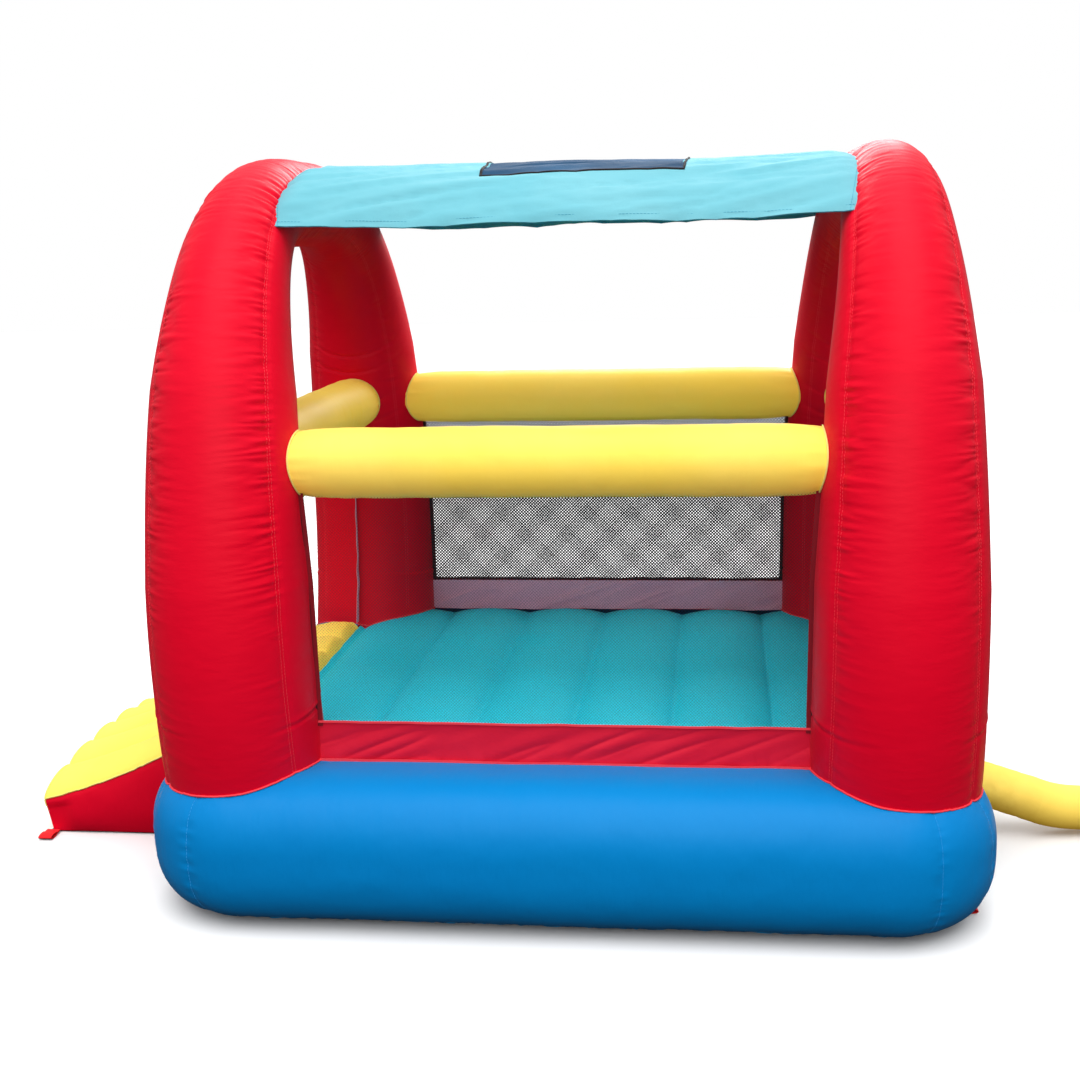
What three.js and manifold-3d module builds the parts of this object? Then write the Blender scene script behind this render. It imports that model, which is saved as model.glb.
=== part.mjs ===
// Inflatable bounce house: a blown-up base with a channelled floor, two tapered arches, four rails,
// net walls, a cloth canopy, a short slide, a blower sleeve and six strap loops for ground stakes.
// Millimetres, +Z up. The origin is the middle of the underside, +X points to the blower sleeve
// and -Y to the front. Every blown-up chamber is made of skins, because inside it is only air.
import * as THREE from "three";
import { mergeVertices } from "three/addons/utils/BufferGeometryUtils.js";
import Module from "manifold-3d";

const wasm = await Module();
wasm.setup();

// Driving dimensions
const gap = 0.3;
const skin = 6;
const cloth = 3;
const seam = { halfX: 1045, halfY: 968, cornerRadius: 40 };
const bulge = { centre: 60, radius: 240, centreZ: 245, power: 2.6, topAngle: 98, bottomAngle: -80 };
const groundSheet = { halfX: 1150, halfY: 1095, cornerRadius: 150, thickness: 4 };
const floor = { valleyZ: 460, crownZ: 502, channels: 6, channelWidth: 340, endRound: 120, webHole: 90 };
const arch = { x: 1035, halfSpan: 990, footZ: 480, crownZ: 2248, power: 3.33, startAngle: -6 };
const archTuck = { amount: 62, belowZ: 1000, atZ: 450 };
const archRadii = { foot: 262, lower: 256, upper: 224, crown: 152 };
const rail = { z: 1440, radius: 110, y: 925, x: 1030 };
const wall = { outset: 5, bandTop: 610, stripWidth: 40 };
const canopy = { hemAngle: 59.4, crestOffset: 131, hemOffset: 96 };
const skylight = { left: -270, right: 384, front: -500, back: 100 };
const slide = { nearY: -490, farY: 620, channels: 5, lobeRise: 26, floorZ: 5 };
const slideCrown = { rise: 62, startX: -1105, run: 300 };
const channelSteps = 4;
const sleeve = { radius: 78, wall: 4, collar: 34, bandAngle: 32 };
sleeve.rootStart = [1300, -297, 216];
sleeve.pivot = [1450, -297, 176];
sleeve.bends = [[1560, -289, 138], [1680, -274, 98], [1860, -257, 84], [2010, -257, 84]];
sleeve.mouth = [2160, -257, 84];
const strap = { x: 2110, width: 25, thickness: 2.2 };
const loop = { width: 50, length: 78, rootThickness: 5, eyeStart: 24, height: 17, web: 2.6, lift: 0.5 };

const palette = {
  red: [0xc4122a, 0.62],
  blue: [0x0083ce, 0.58],
  yellow: [0xfbe56a, 0.6],
  cyan: [0x5fd2e6, 0.66],
  teal: [0x25bccb, 0.62],
  navy: [0x1f3f66, 0.8],
  net: [0x17181b, 0.85],
  black: [0x1a1b1e, 0.75],
  grey: [0xb9bcc0, 0.8],
};

const house = new THREE.Group();
const radians = THREE.MathUtils.degToRad;

// ---- Shared geometry ----

function material(colour) {
  const [color, roughness] = palette[colour];
  return new THREE.MeshStandardMaterial({ color, roughness, metalness: 0 });
}

function addPiece(name, geometry, colour, parent = house) {
  const mesh = new THREE.Mesh(geometry, material(colour));
  mesh.name = name;
  parent.add(mesh);
  return mesh;
}

function signedVolume(points, faces) {
  const cross = new THREE.Vector3();
  return faces.reduce((sum, [a, b, c]) => {
    cross.crossVectors(points[b], points[c]);
    return sum + points[a].dot(cross) / 6;
  }, 0);
}

// A closed geometry from points and triangles, turned so that its faces point out.
function closedGeometry(points, faces) {
  const outward = signedVolume(points, faces) > 0;
  const order = outward ? faces : faces.map(([a, b, c]) => [a, c, b]);
  const geometry = new THREE.BufferGeometry();
  const coordinates = points.flatMap((point) => point.toArray());
  geometry.setAttribute("position", new THREE.Float32BufferAttribute(coordinates, 3));
  geometry.setIndex(order.flat());
  return geometry;
}

// A wall between an outer and an inner grid of points. A wrapped wall closes on itself like a tube.
function wallBetween(outer, inner, wrapped = false) {
  const rows = outer.length;
  const last = rows - 1;
  const columns = outer[0].length;
  const points = [...outer.flat(), ...inner.flat()];
  const at = (side, row, column) => (side * rows + row) * columns + (column % columns);
  const faces = [];
  const quad = (a, b, c, d) => faces.push([a, b, c], [a, c, d]);
  const lastColumn = wrapped ? columns : columns - 1;
  for (let row = 0; row < last; row += 1) {
    for (let column = 0; column < lastColumn; column += 1) {
      quad(at(0, row, column), at(0, row, column + 1), at(0, row + 1, column + 1), at(0, row + 1, column));
      quad(at(1, row, column), at(1, row + 1, column), at(1, row + 1, column + 1), at(1, row, column + 1));
    }
  }
  for (let column = 0; column < lastColumn; column += 1) {
    quad(at(0, 0, column), at(1, 0, column), at(1, 0, column + 1), at(0, 0, column + 1));
    quad(at(0, last, column), at(0, last, column + 1), at(1, last, column + 1), at(1, last, column));
  }
  if (!wrapped) {
    const end = columns - 1;
    for (let row = 0; row < last; row += 1) {
      quad(at(0, row, 0), at(0, row + 1, 0), at(1, row + 1, 0), at(1, row, 0));
      quad(at(0, row, end), at(1, row, end), at(1, row + 1, end), at(0, row + 1, end));
    }
  }
  return closedGeometry(points, faces);
}

// A solid lofted through rings of equal count, with a fan over each end.
function loft(rings) {
  const sides = rings[0].length;
  const points = rings.flat();
  const faces = [];
  for (let row = 0; row < rings.length - 1; row += 1) {
    for (let side = 0; side < sides; side += 1) {
      const next = (side + 1) % sides;
      const [a, b] = [row * sides + side, row * sides + next];
      faces.push([a, b, b + sides], [a, b + sides, a + sides]);
    }
  }
  for (const row of [0, rings.length - 1]) {
    const centre = new THREE.Vector3();
    rings[row].forEach((point) => centre.addScaledVector(point, 1 / sides));
    const tip = points.push(centre) - 1;
    for (let side = 0; side < sides; side += 1) {
      const [a, b] = [row * sides + side, row * sides + ((side + 1) % sides)];
      faces.push(row === 0 ? [tip, b, a] : [tip, a, b]);
    }
  }
  return closedGeometry(points, faces);
}

function toSolid(geometry) {
  const bare = geometry.clone();
  bare.deleteAttribute("normal");
  bare.deleteAttribute("uv");
  const merged = mergeVertices(bare, 1e-3);
  return new wasm.Manifold(new wasm.Mesh({
    numProp: 3,
    vertProperties: new Float32Array(merged.attributes.position.array),
    triVerts: new Uint32Array(merged.index.array),
  }));
}

function fromSolid(solid) {
  const { vertProperties, triVerts } = solid.getMesh();
  const geometry = new THREE.BufferGeometry();
  geometry.setAttribute("position", new THREE.Float32BufferAttribute(vertProperties, 3));
  geometry.setIndex(new THREE.Uint32BufferAttribute(triVerts, 1));
  return geometry;
}

function subtract(geometry, ...tools) {
  return fromSolid(tools.reduce((solid, tool) => solid.subtract(toSolid(tool)), toSolid(geometry)));
}

function box(low, high) {
  const size = high.map((value, axis) => value - low[axis]);
  const middle = high.map((value, axis) => (value + low[axis]) / 2);
  return new THREE.BoxGeometry(...size).translate(...middle);
}

function steps(count, from, to) {
  return Array.from({ length: count + 1 }, (_, index) => from + ((to - from) * index) / count);
}

// A ring of points round a centre, in the plane across a direction that lies in the YZ or XZ plane.
function ringAcross(centre, direction, side, radius, sides) {
  const up = new THREE.Vector3().crossVectors(direction, side).normalize();
  return steps(sides, 0, 2 * Math.PI).slice(0, sides).map((angle) => new THREE.Vector3()
    .copy(centre)
    .addScaledVector(side, radius * Math.cos(angle))
    .addScaledVector(up, radius * Math.sin(angle)));
}

const rectangle = (x0, y0, x1, y1) => [[x0, y0], [x1, y0], [x1, y1], [x0, y1]].map((corner) =>
  new THREE.Vector2(...corner));

// An upright panel or plate from an outline in a plane, given its thickness towards +Z of that plane.
function plate(outline, thickness, holes = []) {
  const shape = new THREE.Shape(outline);
  holes.forEach((hole) => shape.holes.push(new THREE.Path(hole)));
  return new THREE.ExtrudeGeometry(shape, { depth: thickness, bevelEnabled: false, curveSegments: 8 });
}

// ---- Base: four bulging side panels and four corner panels round a channelled floor ----

// One quarter of the rounded outline, from the middle of its corner's first side to its second.
function cornerPoints(halfX, halfY, radius, cornerSteps) {
  return steps(cornerSteps, 0, Math.PI / 2).map((angle) => [
    halfX - radius + radius * Math.cos(angle),
    halfY - radius + radius * Math.sin(angle),
  ]);
}

const quarterSigns = [[1, 1], [-1, 1], [-1, -1], [1, -1]];
const cornerSteps = 5;

function outlineAt(outset, z) {
  const halfX = seam.halfX + outset;
  const halfY = seam.halfY + outset;
  const radius = seam.cornerRadius + outset;
  return quarterSigns.flatMap(([signX, signY]) => {
    const quarter = cornerPoints(halfX, halfY, radius, cornerSteps);
    const ordered = signX * signY > 0 ? quarter : quarter.reverse();
    return ordered.map(([x, y]) => new THREE.Vector3(signX * x, signY * y, z));
  });
}

// The bulge's section is a squared-off circle, from the top seam round the outside to the bottom seam.
const squared = (value, power) => Math.sign(value) * Math.abs(value) ** (2 / power);

function bulgeProfile(radius, count = 13) {
  return steps(count, bulge.topAngle, bulge.bottomAngle).map((angle) => [
    bulge.centre + radius * squared(Math.cos(radians(angle)), bulge.power),
    bulge.centreZ + radius * squared(Math.sin(radians(angle)), bulge.power),
  ]);
}

// The whole base as a solid, grown by a clearance, which the pieces that stand on it are cut with.
function baseEnvelope(clearance) {
  const rings = bulgeProfile(bulge.radius + clearance).map(([outset, z]) => outlineAt(outset, z));
  return loft(rings);
}

function basePanel(first, last) {
  const rowsOf = (radius) => bulgeProfile(radius).map(([outset, z]) => outlineAt(outset, z));
  const outer = rowsOf(bulge.radius);
  const inner = rowsOf(bulge.radius - skin);
  const pick = (row) => {
    const count = row.length;
    const chosen = [];
    for (let index = first; index <= last; index += 1) {
      chosen.push(row[index % count].clone());
    }
    return chosen;
  };
  return [outer.map(pick), inner.map(pick)];
}

// Neighbouring panels are kept apart by pulling both end columns in along the panel.
function withEndGaps([outer, inner]) {
  for (const grid of [outer, inner]) {
    for (const row of grid) {
      const end = row.length - 1;
      const startPull = row[1].clone().sub(row[0]).setLength(gap / 2);
      const endPull = row[end - 1].clone().sub(row[end]).setLength(gap / 2);
      row[0].add(startPull);
      row[end].add(endPull);
    }
  }
  return wallBetween(outer, inner);
}

const pointsPerCorner = cornerSteps + 1;
const cornerNames = ["right_rear", "left_rear", "left_front", "right_front"];
const sideNames = ["rear", "left", "front", "right"];
cornerNames.forEach((name, corner) => {
  const first = corner * pointsPerCorner;
  addPiece(`base_corner_${name}`, withEndGaps(basePanel(first, first + cornerSteps)), "blue");
});
sideNames.forEach((name, corner) => {
  const first = corner * pointsPerCorner + cornerSteps;
  addPiece(`base_side_${name}`, withEndGaps(basePanel(first, first + 1)), "blue");
});

// ---- Ground sheet ----

const sheetOutline = quarterSigns.flatMap(([signX, signY]) => {
  const { halfX, halfY, cornerRadius } = groundSheet;
  const quarter = cornerPoints(halfX, halfY, cornerRadius, 4);
  const ordered = signX * signY > 0 ? quarter : quarter.reverse();
  return ordered.map(([x, y]) => new THREE.Vector2(signX * x, signY * y));
});
addPiece("ground_sheet", plate(sheetOutline, groundSheet.thickness), "black");

// ---- Floor: a channelled top sheet held down by inner webs ----

const floorHalfX = seam.halfX - 2;
const floorHalfY = seam.halfY - 2;

function floorTopZ(x, y) {
  const channelShape = Math.sqrt(Math.abs(Math.sin((Math.PI * x) / floor.channelWidth)));
  const alongEnd = Math.min(1, (floorHalfY - Math.abs(y)) / floor.endRound);
  const rise = channelShape * Math.sqrt(Math.max(0, 1 - (1 - alongEnd) ** 2));
  return floor.valleyZ + (floor.crownZ - floor.valleyZ) * rise;
}

const floorEndRows = [0, 40, floor.endRound];
const floorRows = [
  ...floorEndRows.map((inset) => -floorHalfY + inset),
  ...floorEndRows.map((inset) => floorHalfY - inset).reverse(),
];
const channelSpan = (floor.channels * floor.channelWidth) / 2;
const channelLines = steps(floor.channels * channelSteps, -channelSpan, channelSpan);
const floorColumns = [-floorHalfX, ...channelLines, floorHalfX];

function floorGrid(drop) {
  return floorRows.map((y) => floorColumns.map((x) => new THREE.Vector3(x, y, floorTopZ(x, y) - drop)));
}
addPiece("floor_top", wallBetween(floorGrid(0), floorGrid(skin)), "teal");

// The floor as a solid block with a clearance, for cutting the arch feet.
function floorEnvelope(clearance) {
  const lowRow = (y) => floorColumns.map((x) => new THREE.Vector3(x, y, bulge.centreZ));
  return wallBetween(floorGrid(-clearance), floorRows.map(lowRow));
}

// Webs run front to back under the valleys and have round holes that let the air through.
function webPlate(low, high, bottom, top, holeRadius, thickness) {
  const middle = (top + bottom) / 2;
  const outline = rectangle(low, bottom, high, top);
  const circle = steps(10, 0, -2 * Math.PI).slice(0, 10);
  const holes = [0.25, 0.5, 0.75].map((share) => circle.map((angle) => new THREE.Vector2(
    low + (high - low) * share + holeRadius * Math.cos(angle),
    middle + holeRadius * Math.sin(angle),
  )));
  return plate(outline, thickness, holes).rotateX(Math.PI / 2);
}

const webBottom = groundSheet.thickness + gap;
const webTop = floor.valleyZ - skin - gap;
const floorWebReach = seam.halfY - 10;
for (let web = 1; web < floor.channels; web += 1) {
  const x = -channelSpan + web * floor.channelWidth;
  const shape = webPlate(-floorWebReach, floorWebReach, webBottom, webTop, floor.webHole, cloth);
  shape.rotateZ(Math.PI / 2).translate(x - cloth / 2, 0, 0);
  addPiece(`floor_web_${web}`, shape, "grey");
}

// ---- Arches: tapered tubes that follow a squared-off hoop, in five sewn lengths each ----

function archRadiusAt(z) {
  const share = Math.min(1, Math.max(0, (z - arch.footZ) / (arch.crownZ - arch.footZ)));
  const { foot, lower, upper, crown } = archRadii;
  const knots = [[0, foot], [1 / 3, lower], [2 / 3, upper], [1, crown]];
  const index = Math.min(2, Math.floor(share * 3));
  const [[from, fromRadius], [to, toRadius]] = [knots[index], knots[index + 1]];
  return fromRadius + ((toRadius - fromRadius) * (share - from)) / (to - from);
}

// The hoop runs from the front foot over the crown to the rear foot as its angle goes from 0 to 180.
// It goes straight down past both ends of that range, and its legs tuck in towards their feet.
const footFall = 22.5;

function archCentre(angle) {
  const beyond = Math.max(0, -angle, angle - 180);
  const y = arch.halfSpan * squared(Math.cos(radians(angle)), arch.power);
  const rise = squared(Math.max(0, Math.sin(radians(angle))), arch.power);
  const z = arch.footZ + (arch.crownZ - arch.footZ) * rise - footFall * beyond;
  const below = Math.max(0, archTuck.belowZ - z) / (archTuck.belowZ - archTuck.atZ);
  const reach = beyond > 0 ? arch.halfSpan : Math.abs(y);
  return new THREE.Vector3(0, (angle < 90 ? -1 : 1) * (reach - archTuck.amount * below ** 2), z);
}

function archRing(x, station, shrink, sides = 18) {
  const side = new THREE.Vector3(1, 0, 0);
  const centre = station.centre.clone().setX(x);
  return ringAcross(centre, station.direction, side, archRadiusAt(station.centre.z) - shrink, sides);
}

function archStation(angle) {
  const step = 0.4;
  const direction = archCentre(angle + step).sub(archCentre(angle - step)).normalize();
  return { centre: archCentre(angle), direction };
}

const legAngles = [arch.startAngle, 1.5, 5, 11, 18, 26];
const shoulderAngles = [26, 33, 40, 47, 55, 63];
const crownAngles = [63, 72, 81, 90, 99, 108, 117];
const mirrored = (angles) => angles.map((angle) => 180 - angle).reverse();
const archLengths = {
  front_leg: legAngles.map(archStation),
  front_shoulder: shoulderAngles.map(archStation),
  crown: crownAngles.map(archStation),
  rear_shoulder: mirrored(shoulderAngles).map(archStation),
  rear_leg: mirrored(legAngles).map(archStation),
};

function endsPulledIn(stations) {
  const moved = stations.map(({ centre, direction }) => ({ centre: centre.clone(), direction }));
  moved[0].centre.addScaledVector(moved[0].direction, gap / 2);
  moved.at(-1).centre.addScaledVector(moved.at(-1).direction, -gap / 2);
  return moved;
}

function archSolid(x, clearance) {
  const all = [...archLengths.front_leg, ...shoulderAngles.slice(1).map(archStation),
    ...crownAngles.slice(1).map(archStation), ...mirrored(shoulderAngles).slice(1).map(archStation),
    ...archLengths.rear_leg.slice(1)];
  return loft(all.map((station) => archRing(x, station, -clearance)));
}

const standingOn = [baseEnvelope(gap), floorEnvelope(gap)];
const archSides = { left: -arch.x, right: arch.x };
for (const [sideName, x] of Object.entries(archSides)) {
  for (const [lengthName, stations] of Object.entries(archLengths)) {
    const pulled = endsPulledIn(stations);
    const outer = pulled.map((station) => archRing(x, station, 0));
    const inner = pulled.map((station) => archRing(x, station, skin));
    const tube = wallBetween(outer, inner, true);
    const shape = lengthName.endsWith("leg") ? subtract(tube, ...standingOn) : tube;
    addPiece(`${sideName}_arch_${lengthName}`, shape, "red");
  }
}
const archCutters = Object.values(archSides).map((x) => archSolid(x, gap));

// ---- Rails between the arches ----

function tubeAlong(from, to, radius, wallThickness, sides = 18) {
  const direction = to.clone().sub(from).normalize();
  const side = new THREE.Vector3(0, 0, 1);
  const rings = (r) => [from, to].map((centre) => ringAcross(centre, direction, side, r, sides));
  return wallThickness > 0
    ? wallBetween(rings(radius), rings(radius - wallThickness), true)
    : loft(rings(radius));
}

const railEnds = {
  front: [[-arch.x, -rail.y], [arch.x, -rail.y]],
  rear: [[-arch.x, rail.y], [arch.x, rail.y]],
  left: [[-rail.x, -rail.y], [-rail.x, rail.y]],
  right: [[rail.x, -rail.y], [rail.x, rail.y]],
};
const railTube = (name, radius, wallThickness) => {
  const [from, to] = railEnds[name].map(([x, y]) => new THREE.Vector3(x, y, rail.z));
  return tubeAlong(from, to, radius, wallThickness);
};
for (const name of Object.keys(railEnds)) {
  addPiece(`rail_${name}`, subtract(railTube(name, rail.radius, skin), ...archCutters), "yellow");
}

// ---- Walls: a cloth band at the foot and a net above it, up to the rail ----

const wallBelow = bulge.centreZ + (bulge.radius * 3) / 4;
const wallY = seam.halfY + wall.outset;
const wallX = seam.halfX + wall.outset;
const wallPlanes = {
  front: (low, high) => box([-arch.x, -wallY - cloth / 2, low], [arch.x, -wallY + cloth / 2, high]),
  rear: (low, high) => box([-arch.x, wallY - cloth / 2, low], [arch.x, wallY + cloth / 2, high]),
  right: (low, high) => box([wallX - cloth / 2, -rail.y, low], [wallX + cloth / 2, rail.y, high]),
};
for (const [name, panel] of Object.entries(wallPlanes)) {
  const cutters = [...archCutters, railTube(name, rail.radius + gap, 0)];
  addPiece(`band_${name}`, subtract(panel(wallBelow, wall.bandTop), ...archCutters, ...standingOn), "red");
  addPiece(`net_${name}`, subtract(panel(wall.bandTop + gap, rail.z), ...cutters), "net");
}

// The left side is open as the doorway, with a cloth strip down each of its two legs.
const legInner = arch.halfSpan - archRadii.foot;
for (const [name, signY] of [["front", -1], ["rear", 1]]) {
  const [near, far] = [signY * (legInner - wall.stripWidth), signY * arch.halfSpan].sort((a, b) => a - b);
  const blank = box([-wallX - cloth / 2, near, wallBelow], [-wallX + cloth / 2, far, rail.z]);
  const cutters = [...archCutters, ...standingOn, railTube("left", rail.radius + gap, 0)];
  addPiece(`doorway_strip_${name}`, subtract(blank, ...cutters), "red");
}

// ---- Canopy with a net skylight ----

function canopyPoint(angle, x, drop) {
  const { centre, direction } = archStation(angle);
  const outwards = new THREE.Vector3(0, -direction.z, direction.y);
  const share = Math.min(1, Math.abs(angle - 90) / (90 - canopy.hemAngle));
  const offset = canopy.crestOffset + (canopy.hemOffset - canopy.crestOffset) * share ** 2;
  return centre.addScaledVector(outwards, offset - drop).setX(x);
}

const canopyGrid = (drop) => steps(20, canopy.hemAngle, 180 - canopy.hemAngle).map((angle) =>
  [-arch.x, arch.x].map((x) => canopyPoint(angle, x, drop)));
const canopySheet = subtract(wallBetween(canopyGrid(0), canopyGrid(cloth)), ...archCutters);
const skylightBox = (clearance) => box(
  [skylight.left + clearance, skylight.front + clearance, arch.crownZ - 100],
  [skylight.right - clearance, skylight.back - clearance, arch.crownZ + 300],
);
addPiece("canopy", subtract(canopySheet, skylightBox(0)), "cyan");
const skylightPatch = fromSolid(toSolid(canopySheet).intersect(toSolid(skylightBox(gap))));
addPiece("skylight_net", skylightPatch, "navy");

// ---- Slide: a channelled ramp over the left side panel, with side, end and under sheets ----

// The sewn edge of the ramp, from the doorway to the lip, seen from the front.
const rampEdge = new THREE.SplineCurve([
  [-1052, 494], [-1110, 498], [-1235, 452], [-1400, 357], [-1600, 257], [-1800, 179], [-1970, 127],
].map((point) => new THREE.Vector2(...point)));
const rampStations = steps(10, 0, 1).map((share) => rampEdge.getPoint(share));
const lip = rampStations.at(-1);
const channelY = (slide.farY - slide.nearY) / slide.channels;
const bulgeCentreX = -(seam.halfX + bulge.centre);
const chordSag = 12;

// The ramp's sheet lies over the bulge of the base, so its valleys go no lower than that bulge.
function bulgeTopZ(x) {
  const reach = Math.abs(x - bulgeCentreX) / bulge.radius;
  const rise = reach < 1 ? (1 - reach ** bulge.power) ** (1 / bulge.power) : -1;
  return bulge.centreZ + bulge.radius * rise;
}

// Between its two edges the ramp is blown up into a shallow crown, more so towards the lip.
function rampCrown(x, y) {
  const fromMiddle = (2 * (y - slide.nearY)) / (slide.farY - slide.nearY) - 1;
  const towardsLip = Math.min(1, Math.max(0, (slideCrown.startX - x) / slideCrown.run));
  return slideCrown.rise * towardsLip * Math.max(0, 1 - fromMiddle ** 2) ** 0.8;
}

function rampTopZ(x, y, edgeZ) {
  const lobe = Math.sqrt(Math.abs(Math.sin((Math.PI * (y - slide.nearY)) / channelY)));
  return Math.max(edgeZ + rampCrown(x, y) + slide.lobeRise * lobe, bulgeTopZ(x) + skin + chordSag);
}

const rampColumns = steps(slide.channels * channelSteps, slide.nearY, slide.farY);
const rampGrid = (drop) => rampStations.map(({ x, y: edgeZ }) => rampColumns.map((y) =>
  new THREE.Vector3(x, y, rampTopZ(x, y, edgeZ) - drop)));
addPiece("slide_top", wallBetween(rampGrid(0), rampGrid(skin)), "yellow");

// An upright sheet under the ramp follows the ramp's valley, the lip, the ground and the base's bulge.
const underRamp = skin + 1;
const bulgeClear = bulge.radius + 3;
const bulgeArc = { start: 145, end: 252 };

function slideOutline(y, margin) {
  const valley = ({ x, y: edgeZ }) => [x, edgeZ + rampCrown(x, y) - margin];
  const back = steps(11, bulgeArc.end, bulgeArc.start).map((angle) => [
    bulgeCentreX + bulgeClear * squared(Math.cos(radians(angle)), bulge.power),
    bulge.centreZ + bulgeClear * squared(Math.sin(radians(angle)), bulge.power),
  ]);
  const lipX = lip.x + skin + gap;
  return [
    ...rampStations.slice(1, -1).map(valley).filter(([x]) => x < back.at(-1)[0]),
    [lipX, valley(lip)[1]],
    [lipX, slide.floorZ + gap],
    ...back.filter(([, z]) => z > slide.floorZ + gap),
  ].map(([x, z]) => new THREE.Vector2(x, z));
}

function uprightPlate(outline, y, thickness) {
  return plate(outline, thickness).rotateX(Math.PI / 2).translate(0, y + thickness, 0);
}
const sideOutline = slideOutline(slide.nearY, underRamp);
addPiece("slide_side_front", uprightPlate(sideOutline, slide.nearY, skin), "red");
addPiece("slide_side_rear", uprightPlate(sideOutline, slide.farY - skin, skin), "red");
for (let web = 1; web < slide.channels; web += 1) {
  const y = slide.nearY + web * channelY;
  const outline = slideOutline(y, underRamp + 2);
  addPiece(`slide_web_${web}`, uprightPlate(outline, y - cloth / 2, cloth), "grey");
}
const endFace = (x) => [
  rampColumns.map((y) => new THREE.Vector3(x, y, rampTopZ(lip.x, y, lip.y) - underRamp)),
  rampColumns.map((y) => new THREE.Vector3(x, y, slide.floorZ + gap)),
];
addPiece("slide_end", wallBetween(endFace(lip.x), endFace(lip.x + skin)), "yellow");
const underEdge = -(groundSheet.halfX + gap + 1);
addPiece("slide_underside", box([lip.x, slide.nearY, 0], [underEdge, slide.farY, slide.floorZ]), "black");

// ---- Blower sleeve: a fixed root with a rounded mouth, and a free length that swings on it ----

const pivot = new THREE.Vector3(...sleeve.pivot);
const rootStart = new THREE.Vector3(...sleeve.rootStart);
const rootDirection = pivot.clone().sub(rootStart).normalize();
const sideways = new THREE.Vector3(0, 1, 0);

function rootRings(radius) {
  const ball = steps(4, 0, sleeve.bandAngle).map((angle) => ringAcross(
    pivot.clone().addScaledVector(rootDirection, radius * Math.sin(radians(angle))),
    rootDirection,
    sideways,
    radius * Math.cos(radians(angle)),
    18,
  ));
  return [ringAcross(rootStart, rootDirection, sideways, radius, 18), ...ball];
}
const rootTube = wallBetween(rootRings(sleeve.radius), rootRings(sleeve.radius - sleeve.wall), true);
addPiece("sleeve_root", subtract(rootTube, baseEnvelope(gap)), "yellow");

const sleeveLine = new THREE.CatmullRomCurve3([
  pivot.clone().addScaledVector(rootDirection, sleeve.collar),
  ...[...sleeve.bends, sleeve.mouth].map((point) => new THREE.Vector3(...point)),
]);

function sleeveRings(radius, shares) {
  return shares.map((share) => {
    const direction = sleeveLine.getTangentAt(share);
    const side = new THREE.Vector3().crossVectors(direction, new THREE.Vector3(0, 0, -1)).normalize();
    return ringAcross(sleeveLine.getPointAt(share), direction, side, radius, 18);
  });
}
const sleeveShares = steps(9, 0, 1);
const freeTube = wallBetween(
  sleeveRings(sleeve.radius, sleeveShares),
  sleeveRings(sleeve.radius - sleeve.wall, sleeveShares),
  true,
);
const ball = new THREE.SphereGeometry(sleeve.radius + 2 * gap, 32, 20).translate(...sleeve.pivot);
addPiece("blower_sleeve", subtract(freeTube, ball), "yellow");

// The strap goes round the sleeve near its mouth and is drawn tight by a ladder buckle on top.
const strapInner = sleeve.radius + gap + 0.6;
const strapEnds = [strap.x - strap.width / 2, strap.x + strap.width / 2];
const strapRings = (radius) => strapEnds.map((x) => {
  const centre = new THREE.Vector3(x, sleeve.mouth[1], sleeve.mouth[2]);
  return ringAcross(centre, new THREE.Vector3(1, 0, 0), sideways, radius, 18);
});
const strapOuter = strapInner + strap.thickness;
addPiece("sleeve_strap", wallBetween(strapRings(strapOuter), strapRings(strapInner), true), "black");
const buckleHalf = { x: 16, y: 20 };
const slot = { x: 12.5, near: 4, far: 14 };
const buckleSlots = [[slot.near, slot.far], [-slot.far, -slot.near]].map(([y0, y1]) =>
  rectangle(-slot.x, y0, slot.x, y1).reverse());
const buckle = plate(rectangle(-buckleHalf.x, -buckleHalf.y, buckleHalf.x, buckleHalf.y), 4, buckleSlots);
buckle.translate(strap.x, sleeve.mouth[1], sleeve.mouth[2] + strapOuter + gap);
addPiece("strap_buckle", buckle, "black");

// ---- Anchor loops: doubled webbing sewn at its root, open as an eye at its tip ----

function loopGeometry() {
  const middle = loop.height / 2 + loop.lift;
  const eyeX = (loop.eyeStart + loop.length) / 2;
  const halfEye = (loop.length - loop.eyeStart) / 2;
  const ellipse = (shrink, angles) => angles.map((angle) => new THREE.Vector2(
    eyeX + (halfEye - shrink) * Math.cos(radians(angle)),
    middle + (loop.height / 2 - shrink) * Math.sin(radians(angle)),
  ));
  const half = loop.rootThickness / 2;
  const root = [new THREE.Vector2(0, middle + half), new THREE.Vector2(0, middle - half)];
  const outline = [...ellipse(0, steps(12, -158, 158)), ...root];
  const eye = ellipse(loop.web, steps(12, 0, -360).slice(0, 12));
  return plate(outline, loop.width, [eye]).rotateX(Math.PI / 2).translate(0, loop.width / 2, 0);
}

// The base's loops point out to the sides, and the slide's two to the front and to the rear.
const baseLoop = { x: seam.halfX + 180, y: 915 };
const slideLoopX = lip.x + loop.width / 2;
const loopSwingRoom = 3.5;
const loopPlaces = {
  base_right_front: [baseLoop.x, -baseLoop.y, 0],
  base_right_rear: [baseLoop.x, baseLoop.y, 0],
  base_left_front: [-baseLoop.x, -baseLoop.y, 180],
  base_left_rear: [-baseLoop.x, baseLoop.y, 180],
  slide_front: [slideLoopX, slide.nearY - loopSwingRoom, -90],
  slide_rear: [slideLoopX, slide.farY + loopSwingRoom, 90],
};
for (const [name, [x, y, turn]] of Object.entries(loopPlaces)) {
  const place = new THREE.Group();
  place.position.set(x, y, 0);
  place.rotation.z = radians(turn);
  house.add(place);
  addPiece(`anchor_loop_${name}`, loopGeometry(), "red", place);
}

export default house;
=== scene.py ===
import itertools
import math

import bpy
import numpy as np
from mathutils import Matrix, Vector


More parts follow.
